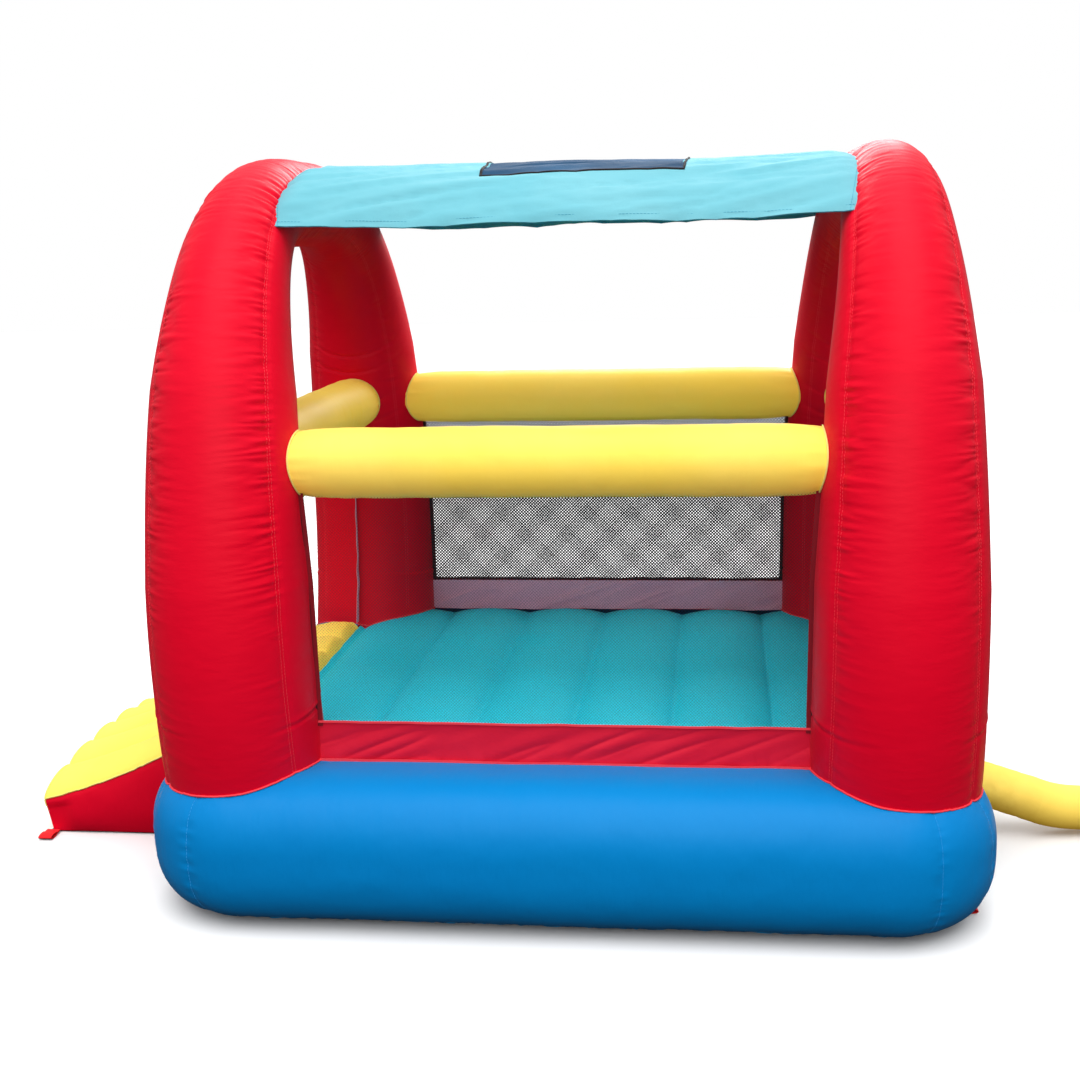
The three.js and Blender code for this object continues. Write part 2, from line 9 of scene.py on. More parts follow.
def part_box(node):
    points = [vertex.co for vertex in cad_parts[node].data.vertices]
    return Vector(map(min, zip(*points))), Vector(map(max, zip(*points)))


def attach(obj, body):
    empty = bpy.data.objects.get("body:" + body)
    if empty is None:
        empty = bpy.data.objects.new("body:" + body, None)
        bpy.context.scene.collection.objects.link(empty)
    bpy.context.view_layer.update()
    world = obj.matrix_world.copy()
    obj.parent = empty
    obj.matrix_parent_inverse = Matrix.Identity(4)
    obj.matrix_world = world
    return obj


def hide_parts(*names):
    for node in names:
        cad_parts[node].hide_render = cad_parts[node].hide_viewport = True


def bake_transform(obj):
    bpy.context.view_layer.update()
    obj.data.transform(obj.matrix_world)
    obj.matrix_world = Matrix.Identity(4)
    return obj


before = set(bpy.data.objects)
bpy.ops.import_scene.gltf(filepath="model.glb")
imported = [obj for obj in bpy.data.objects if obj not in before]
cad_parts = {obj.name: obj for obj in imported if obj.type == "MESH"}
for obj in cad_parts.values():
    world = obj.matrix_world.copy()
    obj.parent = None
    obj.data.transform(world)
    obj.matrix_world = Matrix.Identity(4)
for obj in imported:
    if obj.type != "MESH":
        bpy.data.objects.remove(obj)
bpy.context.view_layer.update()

scene = bpy.context.scene
scene.view_settings.view_transform = "Standard"
print("frame loaded")


# camera and light

cameraSettings = {
    "place": (0.4857, -5.2687, 2.1191),
    "yaw": -0.1233,
    "pitch": 0.2079,  # down
    "roll": 0.0258,
    "lens": 48.33,
    "sensor": 36.0,
}


def placeCamera(settings):
    yaw, pitch, roll = settings["yaw"], settings["pitch"], settings["roll"]
    forward = Vector((math.sin(yaw) * math.cos(pitch), math.cos(yaw) * math.cos(pitch), -math.sin(pitch)))
    right = Vector((math.cos(yaw), -math.sin(yaw), 0))
    down = forward.cross(right)
    axisX = math.cos(roll) * right + math.sin(roll) * down
    axisY = math.sin(roll) * right - math.cos(roll) * down
    camera = bpy.data.objects.new("camera", bpy.data.cameras.new("camera"))
    camera.data.lens = settings["lens"]
    camera.data.sensor_width = settings["sensor"]
    camera.data.clip_end = 60
    camera.matrix_world = Matrix((axisX, axisY, -forward)).transposed().to_4x4()
    camera.location = settings["place"]
    scene.collection.objects.link(camera)
    scene.camera = camera


placeCamera(cameraSettings)

lightSettings = {
    "horizon": 0.40, "zenith": 1.0,
    "sun": {"towards": (-0.06, 0.42, -1.0), "strength": 1.9, "spread": 50},
    "softboxes": (
        # name, place, aim, width, height, watts
        ("front", (0.1, -5.4, 2.9), (0.0, 0.4, 1.0), 3.6, 2.0, 74),
        ("overhead", (0.0, 0.4, 4.8), (0.0, 0.0, 1.0), 3.6, 2.6, 36),
        ("behind", (0.4, 4.6, 4.2), (0.0, 0.1, 0.5), 3.4, 2.6, 240),
    ),
}


def placeLights(settings):
    # the sky is white to look at and softer to light with, so that the colours keep their depth
    world = bpy.data.worlds.new("studio")
    world.use_nodes = True
    nodes, links = world.node_tree.nodes, world.node_tree.links
    nodes.clear()
    kind = nodes.new("ShaderNodeLightPath")
    kind.label = "seen or lighting"
    way = nodes.new("ShaderNodeTexCoord")
    way.label = "way out of the room"
    height = nodes.new("ShaderNodeSeparateXYZ")
    height.label = "how high"
    dome = nodes.new("ShaderNodeMapRange")
    dome.label = "brighter overhead"
    level = nodes.new("ShaderNodeMix")
    level.label = "brightness"
    background = nodes.new("ShaderNodeBackground")
    background.label = "white room"
    output = nodes.new("ShaderNodeOutputWorld")
    output.label = "room"
    for count, node in enumerate((kind, way, height, dome, level, background, output)):
        node.location = (220 * count, 0)
    dome.inputs["To Min"].default_value = settings["horizon"]
    dome.inputs["To Max"].default_value = settings["zenith"]
    level.inputs["B"].default_value = 1.0
    background.inputs["Color"].default_value = (1, 1, 1, 1)
    links.new(way.outputs["Generated"], height.inputs["Vector"])
    links.new(height.outputs["Z"], dome.inputs["Value"])
    links.new(dome.outputs["Result"], level.inputs["A"])
    links.new(kind.outputs["Is Camera Ray"], level.inputs["Factor"])
    links.new(level.outputs["Result"], background.inputs["Strength"])
    links.new(background.outputs["Background"], output.inputs["Surface"])
    scene.world = world
    sun = bpy.data.lights.new("skylight", "SUN")
    sun.energy = settings["sun"]["strength"]
    sun.angle = math.radians(settings["sun"]["spread"])
    holder = bpy.data.objects.new("skylight", sun)
    holder.location = (0, -3, 6)
    holder.rotation_mode = "QUATERNION"
    holder.rotation_quaternion = Vector(settings["sun"]["towards"]).to_track_quat("-Z", "Y")
    scene.collection.objects.link(holder)
    for name, place, aim, width, height, watts in settings["softboxes"]:
        lamp = bpy.data.lights.new(name, "AREA")
        lamp.shape = "RECTANGLE"
        lamp.size, lamp.size_y = width, height
        lamp.energy = watts
        holder = bpy.data.objects.new(name, lamp)
        holder.location = place
        holder.rotation_mode = "QUATERNION"
        holder.rotation_quaternion = (Vector(aim) - Vector(place)).to_track_quat("-Z", "Y")
        scene.collection.objects.link(holder)


placeLights(lightSettings)
print("camera and light placed")


# materials

def tint(red, green, blue):
    # a colour from everyday 0 to 255 values to the linear values that shaders take
    return tuple((((c / 255) + 0.055) / 1.055) ** 2.4 if c > 10 else c / 255 / 12.92
                 for c in (red, green, blue)) + (1.0,)


def blownCloth(name, colour, faded, roughness, gloss=0.03, weave=0.0012, crinkle=0.4, glow=0.0):
    # coated cloth, drawn tight by air: a plain weave under a thin glossy coat, with fine crinkles
    material = bpy.data.materials.new(name)
    material.use_nodes = True
    nodes, links = material.node_tree.nodes, material.node_tree.links
    nodes.clear()
    effects = {}
    for label in ("weave", "crinkles", "fading", "coat"):
        effects[label] = nodes.new("NodeFrame")
        effects[label].label = label
    place = nodes.new("ShaderNodeTexCoord")
    place.label = "place on the piece"
    cutMap = nodes.new("ShaderNodeUVMap")
    cutMap.label = "metres along the cut"
    cutMap.uv_map = "cloth"
    warp = nodes.new("ShaderNodeTexWave")
    warp.label = "warp threads"
    warp.parent = effects["weave"]
    weft = nodes.new("ShaderNodeTexWave")
    weft.label = "weft threads"
    weft.parent = effects["weave"]
    threads = nodes.new("ShaderNodeMath")
    threads.label = "threads over and under"
    threads.parent = effects["weave"]
    weaveBump = nodes.new("ShaderNodeBump")
    weaveBump.label = "raised threads"
    weaveBump.parent = effects["weave"]
    stretchMap = nodes.new("ShaderNodeMapping")
    stretchMap.label = "crinkles run across the piece"
    stretchMap.parent = effects["crinkles"]
    crinkles = nodes.new("ShaderNodeTexNoise")
    crinkles.label = "small crinkles"
    crinkles.parent = effects["crinkles"]
    sags = nodes.new("ShaderNodeTexNoise")
    sags.label = "soft unevenness"
    sags.parent = effects["crinkles"]
    sagBump = nodes.new("ShaderNodeBump")
    sagBump.label = "uneven tension"
    sagBump.parent = effects["crinkles"]
    crinkleBump = nodes.new("ShaderNodeBump")
    crinkleBump.label = "crinkled coat"
    crinkleBump.parent = effects["crinkles"]
    patches = nodes.new("ShaderNodeTexNoise")
    patches.label = "sun faded patches"
    patches.parent = effects["fading"]
    fade = nodes.new("ShaderNodeMapRange")
    fade.label = "how far it faded"
    fade.parent = effects["fading"]
    dye = nodes.new("ShaderNodeMix")
    dye.label = "dye and faded dye"
    dye.parent = effects["fading"]
    rub = nodes.new("ShaderNodeTexNoise")
    rub.label = "rubbed places"
    rub.parent = effects["coat"]
    polish = nodes.new("ShaderNodeMapRange")
    polish.label = "coat from rubbed to new"
    polish.parent = effects["coat"]
    cloth = nodes.new("ShaderNodeBsdfPrincipled")
    cloth.label = "coated cloth"
    output = nodes.new("ShaderNodeOutputMaterial")
    output.label = "surface"
    for count, node in enumerate((place, cutMap, warp, weft, threads, weaveBump, stretchMap, crinkles, sags,
                                  sagBump, crinkleBump, patches, fade, dye, rub, polish, cloth, output)):
        node.location = (240 * (count % 6), -320 * (count // 6))
    for threadsNode, direction in ((warp, "X"), (weft, "Y")):
        threadsNode.bands_direction = direction
        threadsNode.inputs["Scale"].default_value = 0.314 / weave
        threadsNode.inputs["Distortion"].default_value = 0.4
    threads.operation = "MULTIPLY"
    weaveBump.inputs["Strength"].default_value = 0.35
    weaveBump.inputs["Distance"].default_value = 0.00012
    stretchMap.inputs["Scale"].default_value = (46, 13, 1)
    crinkles.inputs["Scale"].default_value = 1.0
    crinkles.inputs["Detail"].default_value = 3.0
    sags.inputs["Scale"].default_value = 7.0
    sags.inputs["Detail"].default_value = 2.0
    sagBump.inputs["Strength"].default_value = 0.5
    sagBump.inputs["Distance"].default_value = 0.006
    crinkleBump.inputs["Strength"].default_value = crinkle
    crinkleBump.inputs["Distance"].default_value = 0.003
    patches.inputs["Scale"].default_value = 1.9
    patches.inputs["Detail"].default_value = 4.0
    fade.inputs["From Min"].default_value = 0.38
    fade.inputs["From Max"].default_value = 0.72
    fade.inputs["To Max"].default_value = 0.35
    dye.data_type = "RGBA"
    dye.inputs["A"].default_value = colour
    dye.inputs["B"].default_value = faded
    rub.inputs["Scale"].default_value = 5.0
    polish.inputs["To Min"].default_value = roughness - 0.06
    polish.inputs["To Max"].default_value = roughness + 0.08
    cloth.inputs["Specular IOR Level"].default_value = 0.08
    cloth.inputs["Coat Weight"].default_value = gloss
    cloth.inputs["Coat Roughness"].default_value = 0.38
    # painted glow: a faint orange emission from the cloth itself, standing in for daylight that comes through a
    # thin tube
    cloth.inputs["Emission Color"].default_value = tint(255, 186, 0)
    cloth.inputs["Emission Strength"].default_value = glow
    cloth.inputs["Sheen Weight"].default_value = 0.02
    cloth.inputs["Sheen Roughness"].default_value = 0.4
    links.new(cutMap.outputs["UV"], warp.inputs["Vector"])
    links.new(cutMap.outputs["UV"], weft.inputs["Vector"])
    links.new(warp.outputs["Fac"], threads.inputs[0])
    links.new(weft.outputs["Fac"], threads.inputs[1])
    links.new(threads.outputs["Value"], weaveBump.inputs["Height"])
    links.new(cutMap.outputs["UV"], stretchMap.inputs["Vector"])
    links.new(stretchMap.outputs["Vector"], crinkles.inputs["Vector"])
    links.new(place.outputs["Object"], sags.inputs["Vector"])
    links.new(sags.outputs["Fac"], sagBump.inputs["Height"])
    links.new(sagBump.outputs["Normal"], crinkleBump.inputs["Normal"])
    links.new(crinkles.outputs["Fac"], crinkleBump.inputs["Height"])
    links.new(crinkleBump.outputs["Normal"], weaveBump.inputs["Normal"])
    links.new(place.outputs["Object"], patches.inputs["Vector"])
    links.new(patches.outputs["Fac"], fade.inputs["Value"])
    links.new(fade.outputs["Result"], dye.inputs["Factor"])
    links.new(place.outputs["Object"], rub.inputs["Vector"])
    links.new(rub.outputs["Fac"], polish.inputs["Value"])
    links.new(dye.outputs["Result"], cloth.inputs["Base Color"])
    links.new(polish.outputs["Result"], cloth.inputs["Roughness"])
    links.new(weaveBump.outputs["Normal"], cloth.inputs["Normal"])
    links.new(cloth.outputs["BSDF"], output.inputs["Surface"])
    return material


def thinCloth(name, colour, worn, roughness, through=0.0, ribs=0.0009, depth=0.3):
    # uncoated or one-side coated cloth for sheets, bindings and webbing: ribs, soft creases and some
    # light that comes through from behind
    material = bpy.data.materials.new(name)
    material.use_nodes = True
    nodes, links = material.node_tree.nodes, material.node_tree.links
    nodes.clear()
    effects = {}
    for label in ("ribs", "creases", "wear"):
        effects[label] = nodes.new("NodeFrame")
        effects[label].label = label
    place = nodes.new("ShaderNodeTexCoord")
    place.label = "place on the piece"
    cutMap = nodes.new("ShaderNodeUVMap")
    cutMap.label = "metres along the cut"
    cutMap.uv_map = "cloth"
    rows = nodes.new("ShaderNodeTexWave")
    rows.label = "ribs of the weave"
    rows.parent = effects["ribs"]
    ribBump = nodes.new("ShaderNodeBump")
    ribBump.label = "raised ribs"
    ribBump.parent = effects["ribs"]
    creases = nodes.new("ShaderNodeTexNoise")
    creases.label = "soft creases"
    creases.parent = effects["creases"]
    creaseBump = nodes.new("ShaderNodeBump")
    creaseBump.label = "creased cloth"
    creaseBump.parent = effects["creases"]
    patches = nodes.new("ShaderNodeTexNoise")
    patches.label = "worn places"
    patches.parent = effects["wear"]
    dye = nodes.new("ShaderNodeMix")
    dye.label = "dye and worn dye"
    dye.parent = effects["wear"]
    cloth = nodes.new("ShaderNodeBsdfPrincipled")
    cloth.label = "cloth"
    glow = nodes.new("ShaderNodeBsdfTranslucent")
    glow.label = "light from behind"
    blend = nodes.new("ShaderNodeMixShader")
    blend.label = "how thin it is"
    output = nodes.new("ShaderNodeOutputMaterial")
    output.label = "surface"
    for count, node in enumerate((place, cutMap, rows, ribBump, creases, creaseBump, patches, dye, cloth, glow,
                                  blend, output)):
        node.location = (240 * (count % 4), -320 * (count // 4))
    rows.bands_direction = "DIAGONAL"
    rows.inputs["Scale"].default_value = 0.314 / ribs
    ribBump.inputs["Strength"].default_value = depth
    ribBump.inputs["Distance"].default_value = 0.0003
    creases.inputs["Scale"].default_value = 16.0
    creases.inputs["Detail"].default_value = 4.0
    creaseBump.inputs["Strength"].default_value = 0.45
    creaseBump.inputs["Distance"].default_value = 0.005
    patches.inputs["Scale"].default_value = 3.0
    patches.inputs["Detail"].default_value = 3.0
    dye.data_type = "RGBA"
    dye.inputs["A"].default_value = colour
    dye.inputs["B"].default_value = worn
    cloth.inputs["Roughness"].default_value = roughness
    cloth.inputs["Specular IOR Level"].default_value = 0.2
    cloth.inputs["Sheen Weight"].default_value = 0.04
    cloth.inputs["Sheen Roughness"].default_value = 0.5
    glow.inputs["Color"].default_value = colour
    blend.inputs["Fac"].default_value = through
    links.new(cutMap.outputs["UV"], rows.inputs["Vector"])
    links.new(rows.outputs["Fac"], ribBump.inputs["Height"])
    links.new(place.outputs["Object"], creases.inputs["Vector"])
    links.new(creases.outputs["Fac"], creaseBump.inputs["Height"])
    links.new(creaseBump.outputs["Normal"], ribBump.inputs["Normal"])
    links.new(place.outputs["Object"], patches.inputs["Vector"])
    links.new(patches.outputs["Fac"], dye.inputs["Factor"])
    links.new(dye.outputs["Result"], cloth.inputs["Base Color"])
    links.new(ribBump.outputs["Normal"], cloth.inputs["Normal"])
    if through > 0:
        links.new(cloth.outputs["BSDF"], blend.inputs[1])
        links.new(glow.outputs["BSDF"], blend.inputs[2])
        links.new(blend.outputs["Shader"], output.inputs["Surface"])
    else:
        nodes.remove(glow)
        nodes.remove(blend)
        links.new(cloth.outputs["BSDF"], output.inputs["Surface"])
    return material


def mouldedPlastic(name, colour, dusty, roughness):
    # matt moulded plastic with a fine grain and paler rubbed places
    material = bpy.data.materials.new(name)
    material.use_nodes = True
    nodes, links = material.node_tree.nodes, material.node_tree.links
    nodes.clear()
    effect = nodes.new("NodeFrame")
    effect.label = "grain and dust"
    place = nodes.new("ShaderNodeTexCoord")
    place.label = "place on the piece"
    grain = nodes.new("ShaderNodeTexNoise")
    grain.label = "moulded grain"
    grain.parent = effect
    grainBump = nodes.new("ShaderNodeBump")
    grainBump.label = "grain height"
    grainBump.parent = effect
    dust = nodes.new("ShaderNodeTexNoise")
    dust.label = "dust"
    dust.parent = effect
    shade = nodes.new("ShaderNodeMix")
    shade.label = "plastic and dust"
    shade.parent = effect
    plastic = nodes.new("ShaderNodeBsdfPrincipled")
    plastic.label = "plastic"
    output = nodes.new("ShaderNodeOutputMaterial")
    output.label = "surface"
    for count, node in enumerate((place, grain, grainBump, dust, shade, plastic, output)):
        node.location = (240 * count, -80 * (count % 2))
    grain.inputs["Scale"].default_value = 900.0
    grainBump.inputs["Strength"].default_value = 0.2
    grainBump.inputs["Distance"].default_value = 0.0002
    dust.inputs["Scale"].default_value = 60.0
    shade.data_type = "RGBA"
    shade.inputs["A"].default_value = colour
    shade.inputs["B"].default_value = dusty
    plastic.inputs["Roughness"].default_value = roughness
    links.new(place.outputs["Object"], grain.inputs["Vector"])
    links.new(grain.outputs["Fac"], grainBump.inputs["Height"])
    links.new(place.outputs["Object"], dust.inputs["Vector"])
    links.new(dust.outputs["Fac"], shade.inputs["Factor"])
    links.new(shade.outputs["Result"], plastic.inputs["Base Color"])
    links.new(grainBump.outputs["Normal"], plastic.inputs["Normal"])
    links.new(plastic.outputs["BSDF"], output.inputs["Surface"])
    return material


redCloth = blownCloth("red_blown_cloth", tint(228, 2, 38), tint(234, 12, 48), 0.46)
blueCloth = blownCloth("blue_blown_cloth", tint(0, 128, 200), tint(0, 136, 206), 0.42, gloss=0.05)
# painted glow: the yellow cloth gives off faint orange light of its own, which lifts its shaded sides
yellowCloth = blownCloth("yellow_blown_cloth_painted_glow", tint(255, 223, 96), tint(255, 231, 132), 0.46, glow=0.17)
tealCloth = blownCloth("teal_blown_cloth", tint(22, 206, 232), tint(44, 214, 238), 0.6, gloss=0.02)
canopyCloth = thinCloth("canopy_cloth", tint(100, 188, 204), tint(136, 206, 218), 0.7, through=0.22)
canopyHem = thinCloth("canopy_hem_cloth", tint(34, 138, 176), tint(60, 164, 196), 0.75)
bandCloth = thinCloth("red_band_cloth", tint(214, 4, 42), tint(228, 28, 58), 0.55)
bandBack = thinCloth("red_band_back", tint(222, 164, 194), tint(232, 180, 206), 0.8)
# painted shade: the red binding cloth darkened to the maroon it shows in shade
shadedRedBinding = thinCloth("red_binding_painted_shade", tint(112, 8, 22), tint(138, 20, 34), 0.75)
blackBinding = thinCloth("black_binding", tint(18, 16, 18), tint(36, 32, 34), 0.8)
blackThread = thinCloth("black_net_thread", tint(24, 25, 28), tint(46, 48, 52), 0.8)
navyCloth = thinCloth("navy_skylight_cloth", tint(40, 104, 150), tint(14, 28, 52), 0.8, through=0.2)
redThread = thinCloth("red_thread", tint(240, 40, 58), tint(250, 80, 92), 0.6)
blueThread = thinCloth("blue_thread", tint(30, 150, 226), tint(76, 180, 238), 0.6)
yellowThread = thinCloth("yellow_thread", tint(236, 212, 84), tint(250, 236, 150), 0.6)
redWebbing = thinCloth("red_webbing", tint(240, 10, 24), tint(250, 44, 48), 0.6, ribs=0.0016, depth=0.7)
blackWebbing = thinCloth("black_webbing", tint(26, 26, 28), tint(48, 48, 50), 0.7, ribs=0.0016, depth=0.7)
greyCloth = thinCloth("grey_web_cloth", tint(178, 181, 186), tint(200, 202, 205), 0.8)
blackSheet = thinCloth("black_ground_sheet", tint(20, 21, 24), tint(40, 42, 44), 0.6)
blackPlastic = mouldedPlastic("black_moulded_plastic", tint(22, 22, 24), tint(52, 52, 54), 0.42)
print("materials written")


# shared making

skinThickness = 0.003


def squared(value, power):
    return np.sign(value) * np.abs(value) ** (2 / power)


def softNoise(places, seed):
    # smooth seeded values from -1 to 1, with one bump for each unit of distance
    places = np.asarray(places, float)
    cell = np.floor(places).astype(np.int64)
    part = places - cell
    part = part * part * (3 - 2 * part)
    total = np.zeros(places.shape[:-1])
    for corner in itertools.product((0, 1), repeat=places.shape[-1]):
        mixed = np.full(total.shape, seed * 7919 + 17, np.int64)
        for axis, step in enumerate(corner):
            mixed = (mixed * 31 + cell[..., axis] + step) * 1103515245 % 2147483647
            mixed ^= mixed >> 11
        weight = np.prod(np.where(corner, part, 1 - part), axis=-1)
        total += weight * ((mixed & 0xFFFF) / 32767.5 - 1)
    return total


def creases(places, seed):
    # rounded ridges between sharp valleys, from -1 in a valley to about 0.6
    return 1.6 * np.abs(softNoise(places, seed)) ** 0.75 - 1


def stacked(*parts):
    return np.stack(np.broadcast_arrays(*parts), -1)


def gridNormals(grid):
    normal = np.cross(np.gradient(grid, axis=0), np.gradient(grid, axis=1))
    return normal / np.maximum(np.linalg.norm(normal, axis=-1, keepdims=True), 1e-12)


def addObject(name, points, faces, loopMap, materials):
    mesh = bpy.data.meshes.new(name)
    mesh.from_pydata(points.tolist(), [], faces)
    layer = mesh.uv_layers.new(name="cloth")
    layer.data.foreach_set("uv", np.asarray(loopMap, np.float32).ravel())
    for material in materials:
        mesh.materials.append(material)
    mesh.polygons.foreach_set("use_smooth", np.ones(len(mesh.polygons), bool))
    mesh.update()
    piece = bpy.data.objects.new(name, mesh)
    scene.collection.objects.link(piece)
    return piece


def volumeOf(points, faces):
    total = 0.0
    for size in (3, 4):
        chosen = np.array([f for f in faces if len(f) == size])
        if len(chosen):
            for corner in range(1, size - 1):
                a, b, c = (points[chosen[:, i]] for i in (0, corner, corner + 1))
                total += np.einsum("ij,ij->i", a, np.cross(b, c)).sum() / 6
    return total


def gridFaces(rows, columns, wrapped, cutMap):
    span = columns if wrapped else columns - 1
    row, column = (part.ravel() for part in np.meshgrid(np.arange(rows - 1), np.arange(span), indexing="ij"))
    beside = (column + 1) % columns
    faces = np.stack([row * columns + column, row * columns + beside,
                      (row + 1) * columns + beside, (row + 1) * columns + column], 1)
    loops = np.stack([cutMap[row, column], cutMap[row, column + 1],
                      cutMap[row + 1, column + 1], cutMap[row + 1, column]], 1)
    return faces, loops


def turnedOutward(points, faces, loops, centres):
    # faces in the order that points them away from the centres
    facing = np.cross(points[faces[:, 1]] - points[faces[:, 0]], points[faces[:, 2]] - points[faces[:, 0]])
    if (facing * (points[faces[:, 0]] - centres)).sum() < 0:
        return faces[:, ::-1], loops[:, ::-1]
    return faces, loops


def sharpBorders(mesh, border):
    # keeps a piece's rim from bending the light on its front
    ends = np.zeros(2 * len(mesh.edges), np.int32)
    mesh.edges.foreach_get("vertices", ends)
    ends = ends.reshape(-1, 2)
    if border is None:
        sides = np.zeros(len(mesh.loops), np.int32)
        mesh.loops.foreach_get("edge_index", sides)
        chosen = np.bincount(sides, minlength=len(mesh.edges)) == 1
    else:
        chosen = border[ends].all(1)
    mesh.edges.foreach_set("use_edge_sharp", chosen)


def tubePiece(name, grid, cutMap, material):
    # a closed chamber: rings of points with a fan over each end
    rows, columns = grid.shape[:2]
    faces, loops = gridFaces(rows, columns, True, cutMap)
    points = grid.reshape(-1, 3)
    tips = np.array([grid[0].mean(0), grid[-1].mean(0)])
    faces = faces.tolist()
    loops = loops.reshape(-1, 2)
    fans = []
    for end, start in ((0, 0), (1, (rows - 1) * columns)):
        for column in range(columns):
            beside = (column + 1) % columns
            pair = (start + beside, start + column) if end == 0 else (start + column, start + beside)
            fans.append([len(points) + end, *pair])
    fanMap = np.tile(cutMap[0, 0], (3 * len(fans), 1))
    points = np.concatenate([points, tips])
    allFaces = faces + fans
    piece = addObject(name, points, allFaces, np.concatenate([loops, fanMap]), [material])
    if volumeOf(points, allFaces) < 0:
        piece.data.flip_normals()
    border = np.zeros(len(points), bool)
    border[:columns] = True
    border[(rows - 1) * columns:rows * columns] = True
    sharpBorders(piece.data, border)
    return piece


def sheetPiece(name, grid, cutMap, materials, thickness, outward, keep=None, offset=0.0):
    # an open sheet given its thickness, with its front turned to the outward direction
    faces, loops = gridFaces(grid.shape[0], grid.shape[1], False, cutMap)
    points = grid.reshape(-1, 3)
    if keep is not None:
        chosen = keep.ravel()
        faces, loops = faces[chosen], loops[chosen]
        used, faces = np.unique(faces, return_inverse=True)
        points, faces = points[used], faces.reshape(-1, 4)
    facing = np.cross(points[faces[:, 1]] - points[faces[:, 0]], points[faces[:, 2]] - points[faces[:, 0]])
    if facing.sum(0) @ np.array(outward, float) < 0:
        faces, loops = faces[:, ::-1], loops[:, ::-1]
    piece = addObject(name, points, faces.tolist(), loops.reshape(-1, 2), materials)
    sharpBorders(piece.data, None)
    solid = piece.modifiers.new("thickness", "SOLIDIFY")
    solid.thickness = thickness
    solid.offset = offset
    solid.use_even_offset = False
    if len(materials) > 1:
        solid.material_offset = 1
        solid.material_offset_rim = len(materials) - 1
    return piece


def skinPiece(name, grid, cutMap, material, outward):
    # coated cloth of an air wall, with its thickness on the inside
    return sheetPiece(name, grid, cutMap, [material], skinThickness, outward, offset=-1.0)


def edgeCarrier(name, paths):
    # loose edges along paths, for the node trees that lay thread on them
    points, edges = [], []
    for path, closed in paths:
        start = len(points)
        points.extend(np.asarray(path, float).tolist())
        count = len(points) - start
        edges.extend([start + i, start + i + 1] for i in range(count - 1))
        if closed:
            edges.append([start + count - 1, start])
    mesh = bpy.data.meshes.new(name)
    mesh.from_pydata(points, edges, [])
    carrier = bpy.data.objects.new(name, mesh)
    scene.collection.objects.link(carrier)
    return carrier


def threadTree():
    # thread or piping of one thickness along every edge
    tree = bpy.data.node_groups.new("thread_along_edges", "GeometryNodeTree")
    sockets = tree.interface
    sockets.new_socket("Geometry", in_out="INPUT", socket_type="NodeSocketGeometry")
    sockets.new_socket("Thread radius", in_out="INPUT", socket_type="NodeSocketFloat")
    sockets.new_socket("Sides", in_out="INPUT", socket_type="NodeSocketInt")
    sockets.new_socket("Finish", in_out="INPUT", socket_type="NodeSocketMaterial")
    sockets.new_socket("Geometry", in_out="OUTPUT", socket_type="NodeSocketGeometry")
    nodes, links = tree.nodes, tree.links
    inputs = nodes.new("NodeGroupInput")
    inputs.label = "sizes"
    line = nodes.new("GeometryNodeMeshToCurve")
    line.label = "edges as a line"
    profile = nodes.new("GeometryNodeCurvePrimitiveCircle")
    profile.label = "round of the thread"
    body = nodes.new("GeometryNodeCurveToMesh")
    body.label = "thread"
    realize = nodes.new("GeometryNodeRealizeInstances")
    realize.label = "real mesh"
    finish = nodes.new("GeometryNodeSetMaterial")
    finish.label = "finish"
    output = nodes.new("NodeGroupOutput")
    output.label = "result"
    for count, node in enumerate((inputs, line, profile, body, realize, finish, output)):
        node.location = (220 * count, 0)
    body.inputs["Fill Caps"].default_value = True
    links.new(inputs.outputs["Geometry"], line.inputs["Mesh"])
    links.new(inputs.outputs["Thread radius"], profile.inputs["Radius"])
    links.new(inputs.outputs["Sides"], profile.inputs["Resolution"])
    links.new(line.outputs["Curve"], body.inputs["Curve"])
    links.new(profile.outputs["Curve"], body.inputs["Profile Curve"])
    links.new(body.outputs["Mesh"], realize.inputs["Geometry"])
    links.new(realize.outputs["Geometry"], finish.inputs["Geometry"])
    links.new(inputs.outputs["Finish"], finish.inputs["Material"])
    links.new(finish.outputs["Geometry"], output.inputs["Geometry"])
    return tree


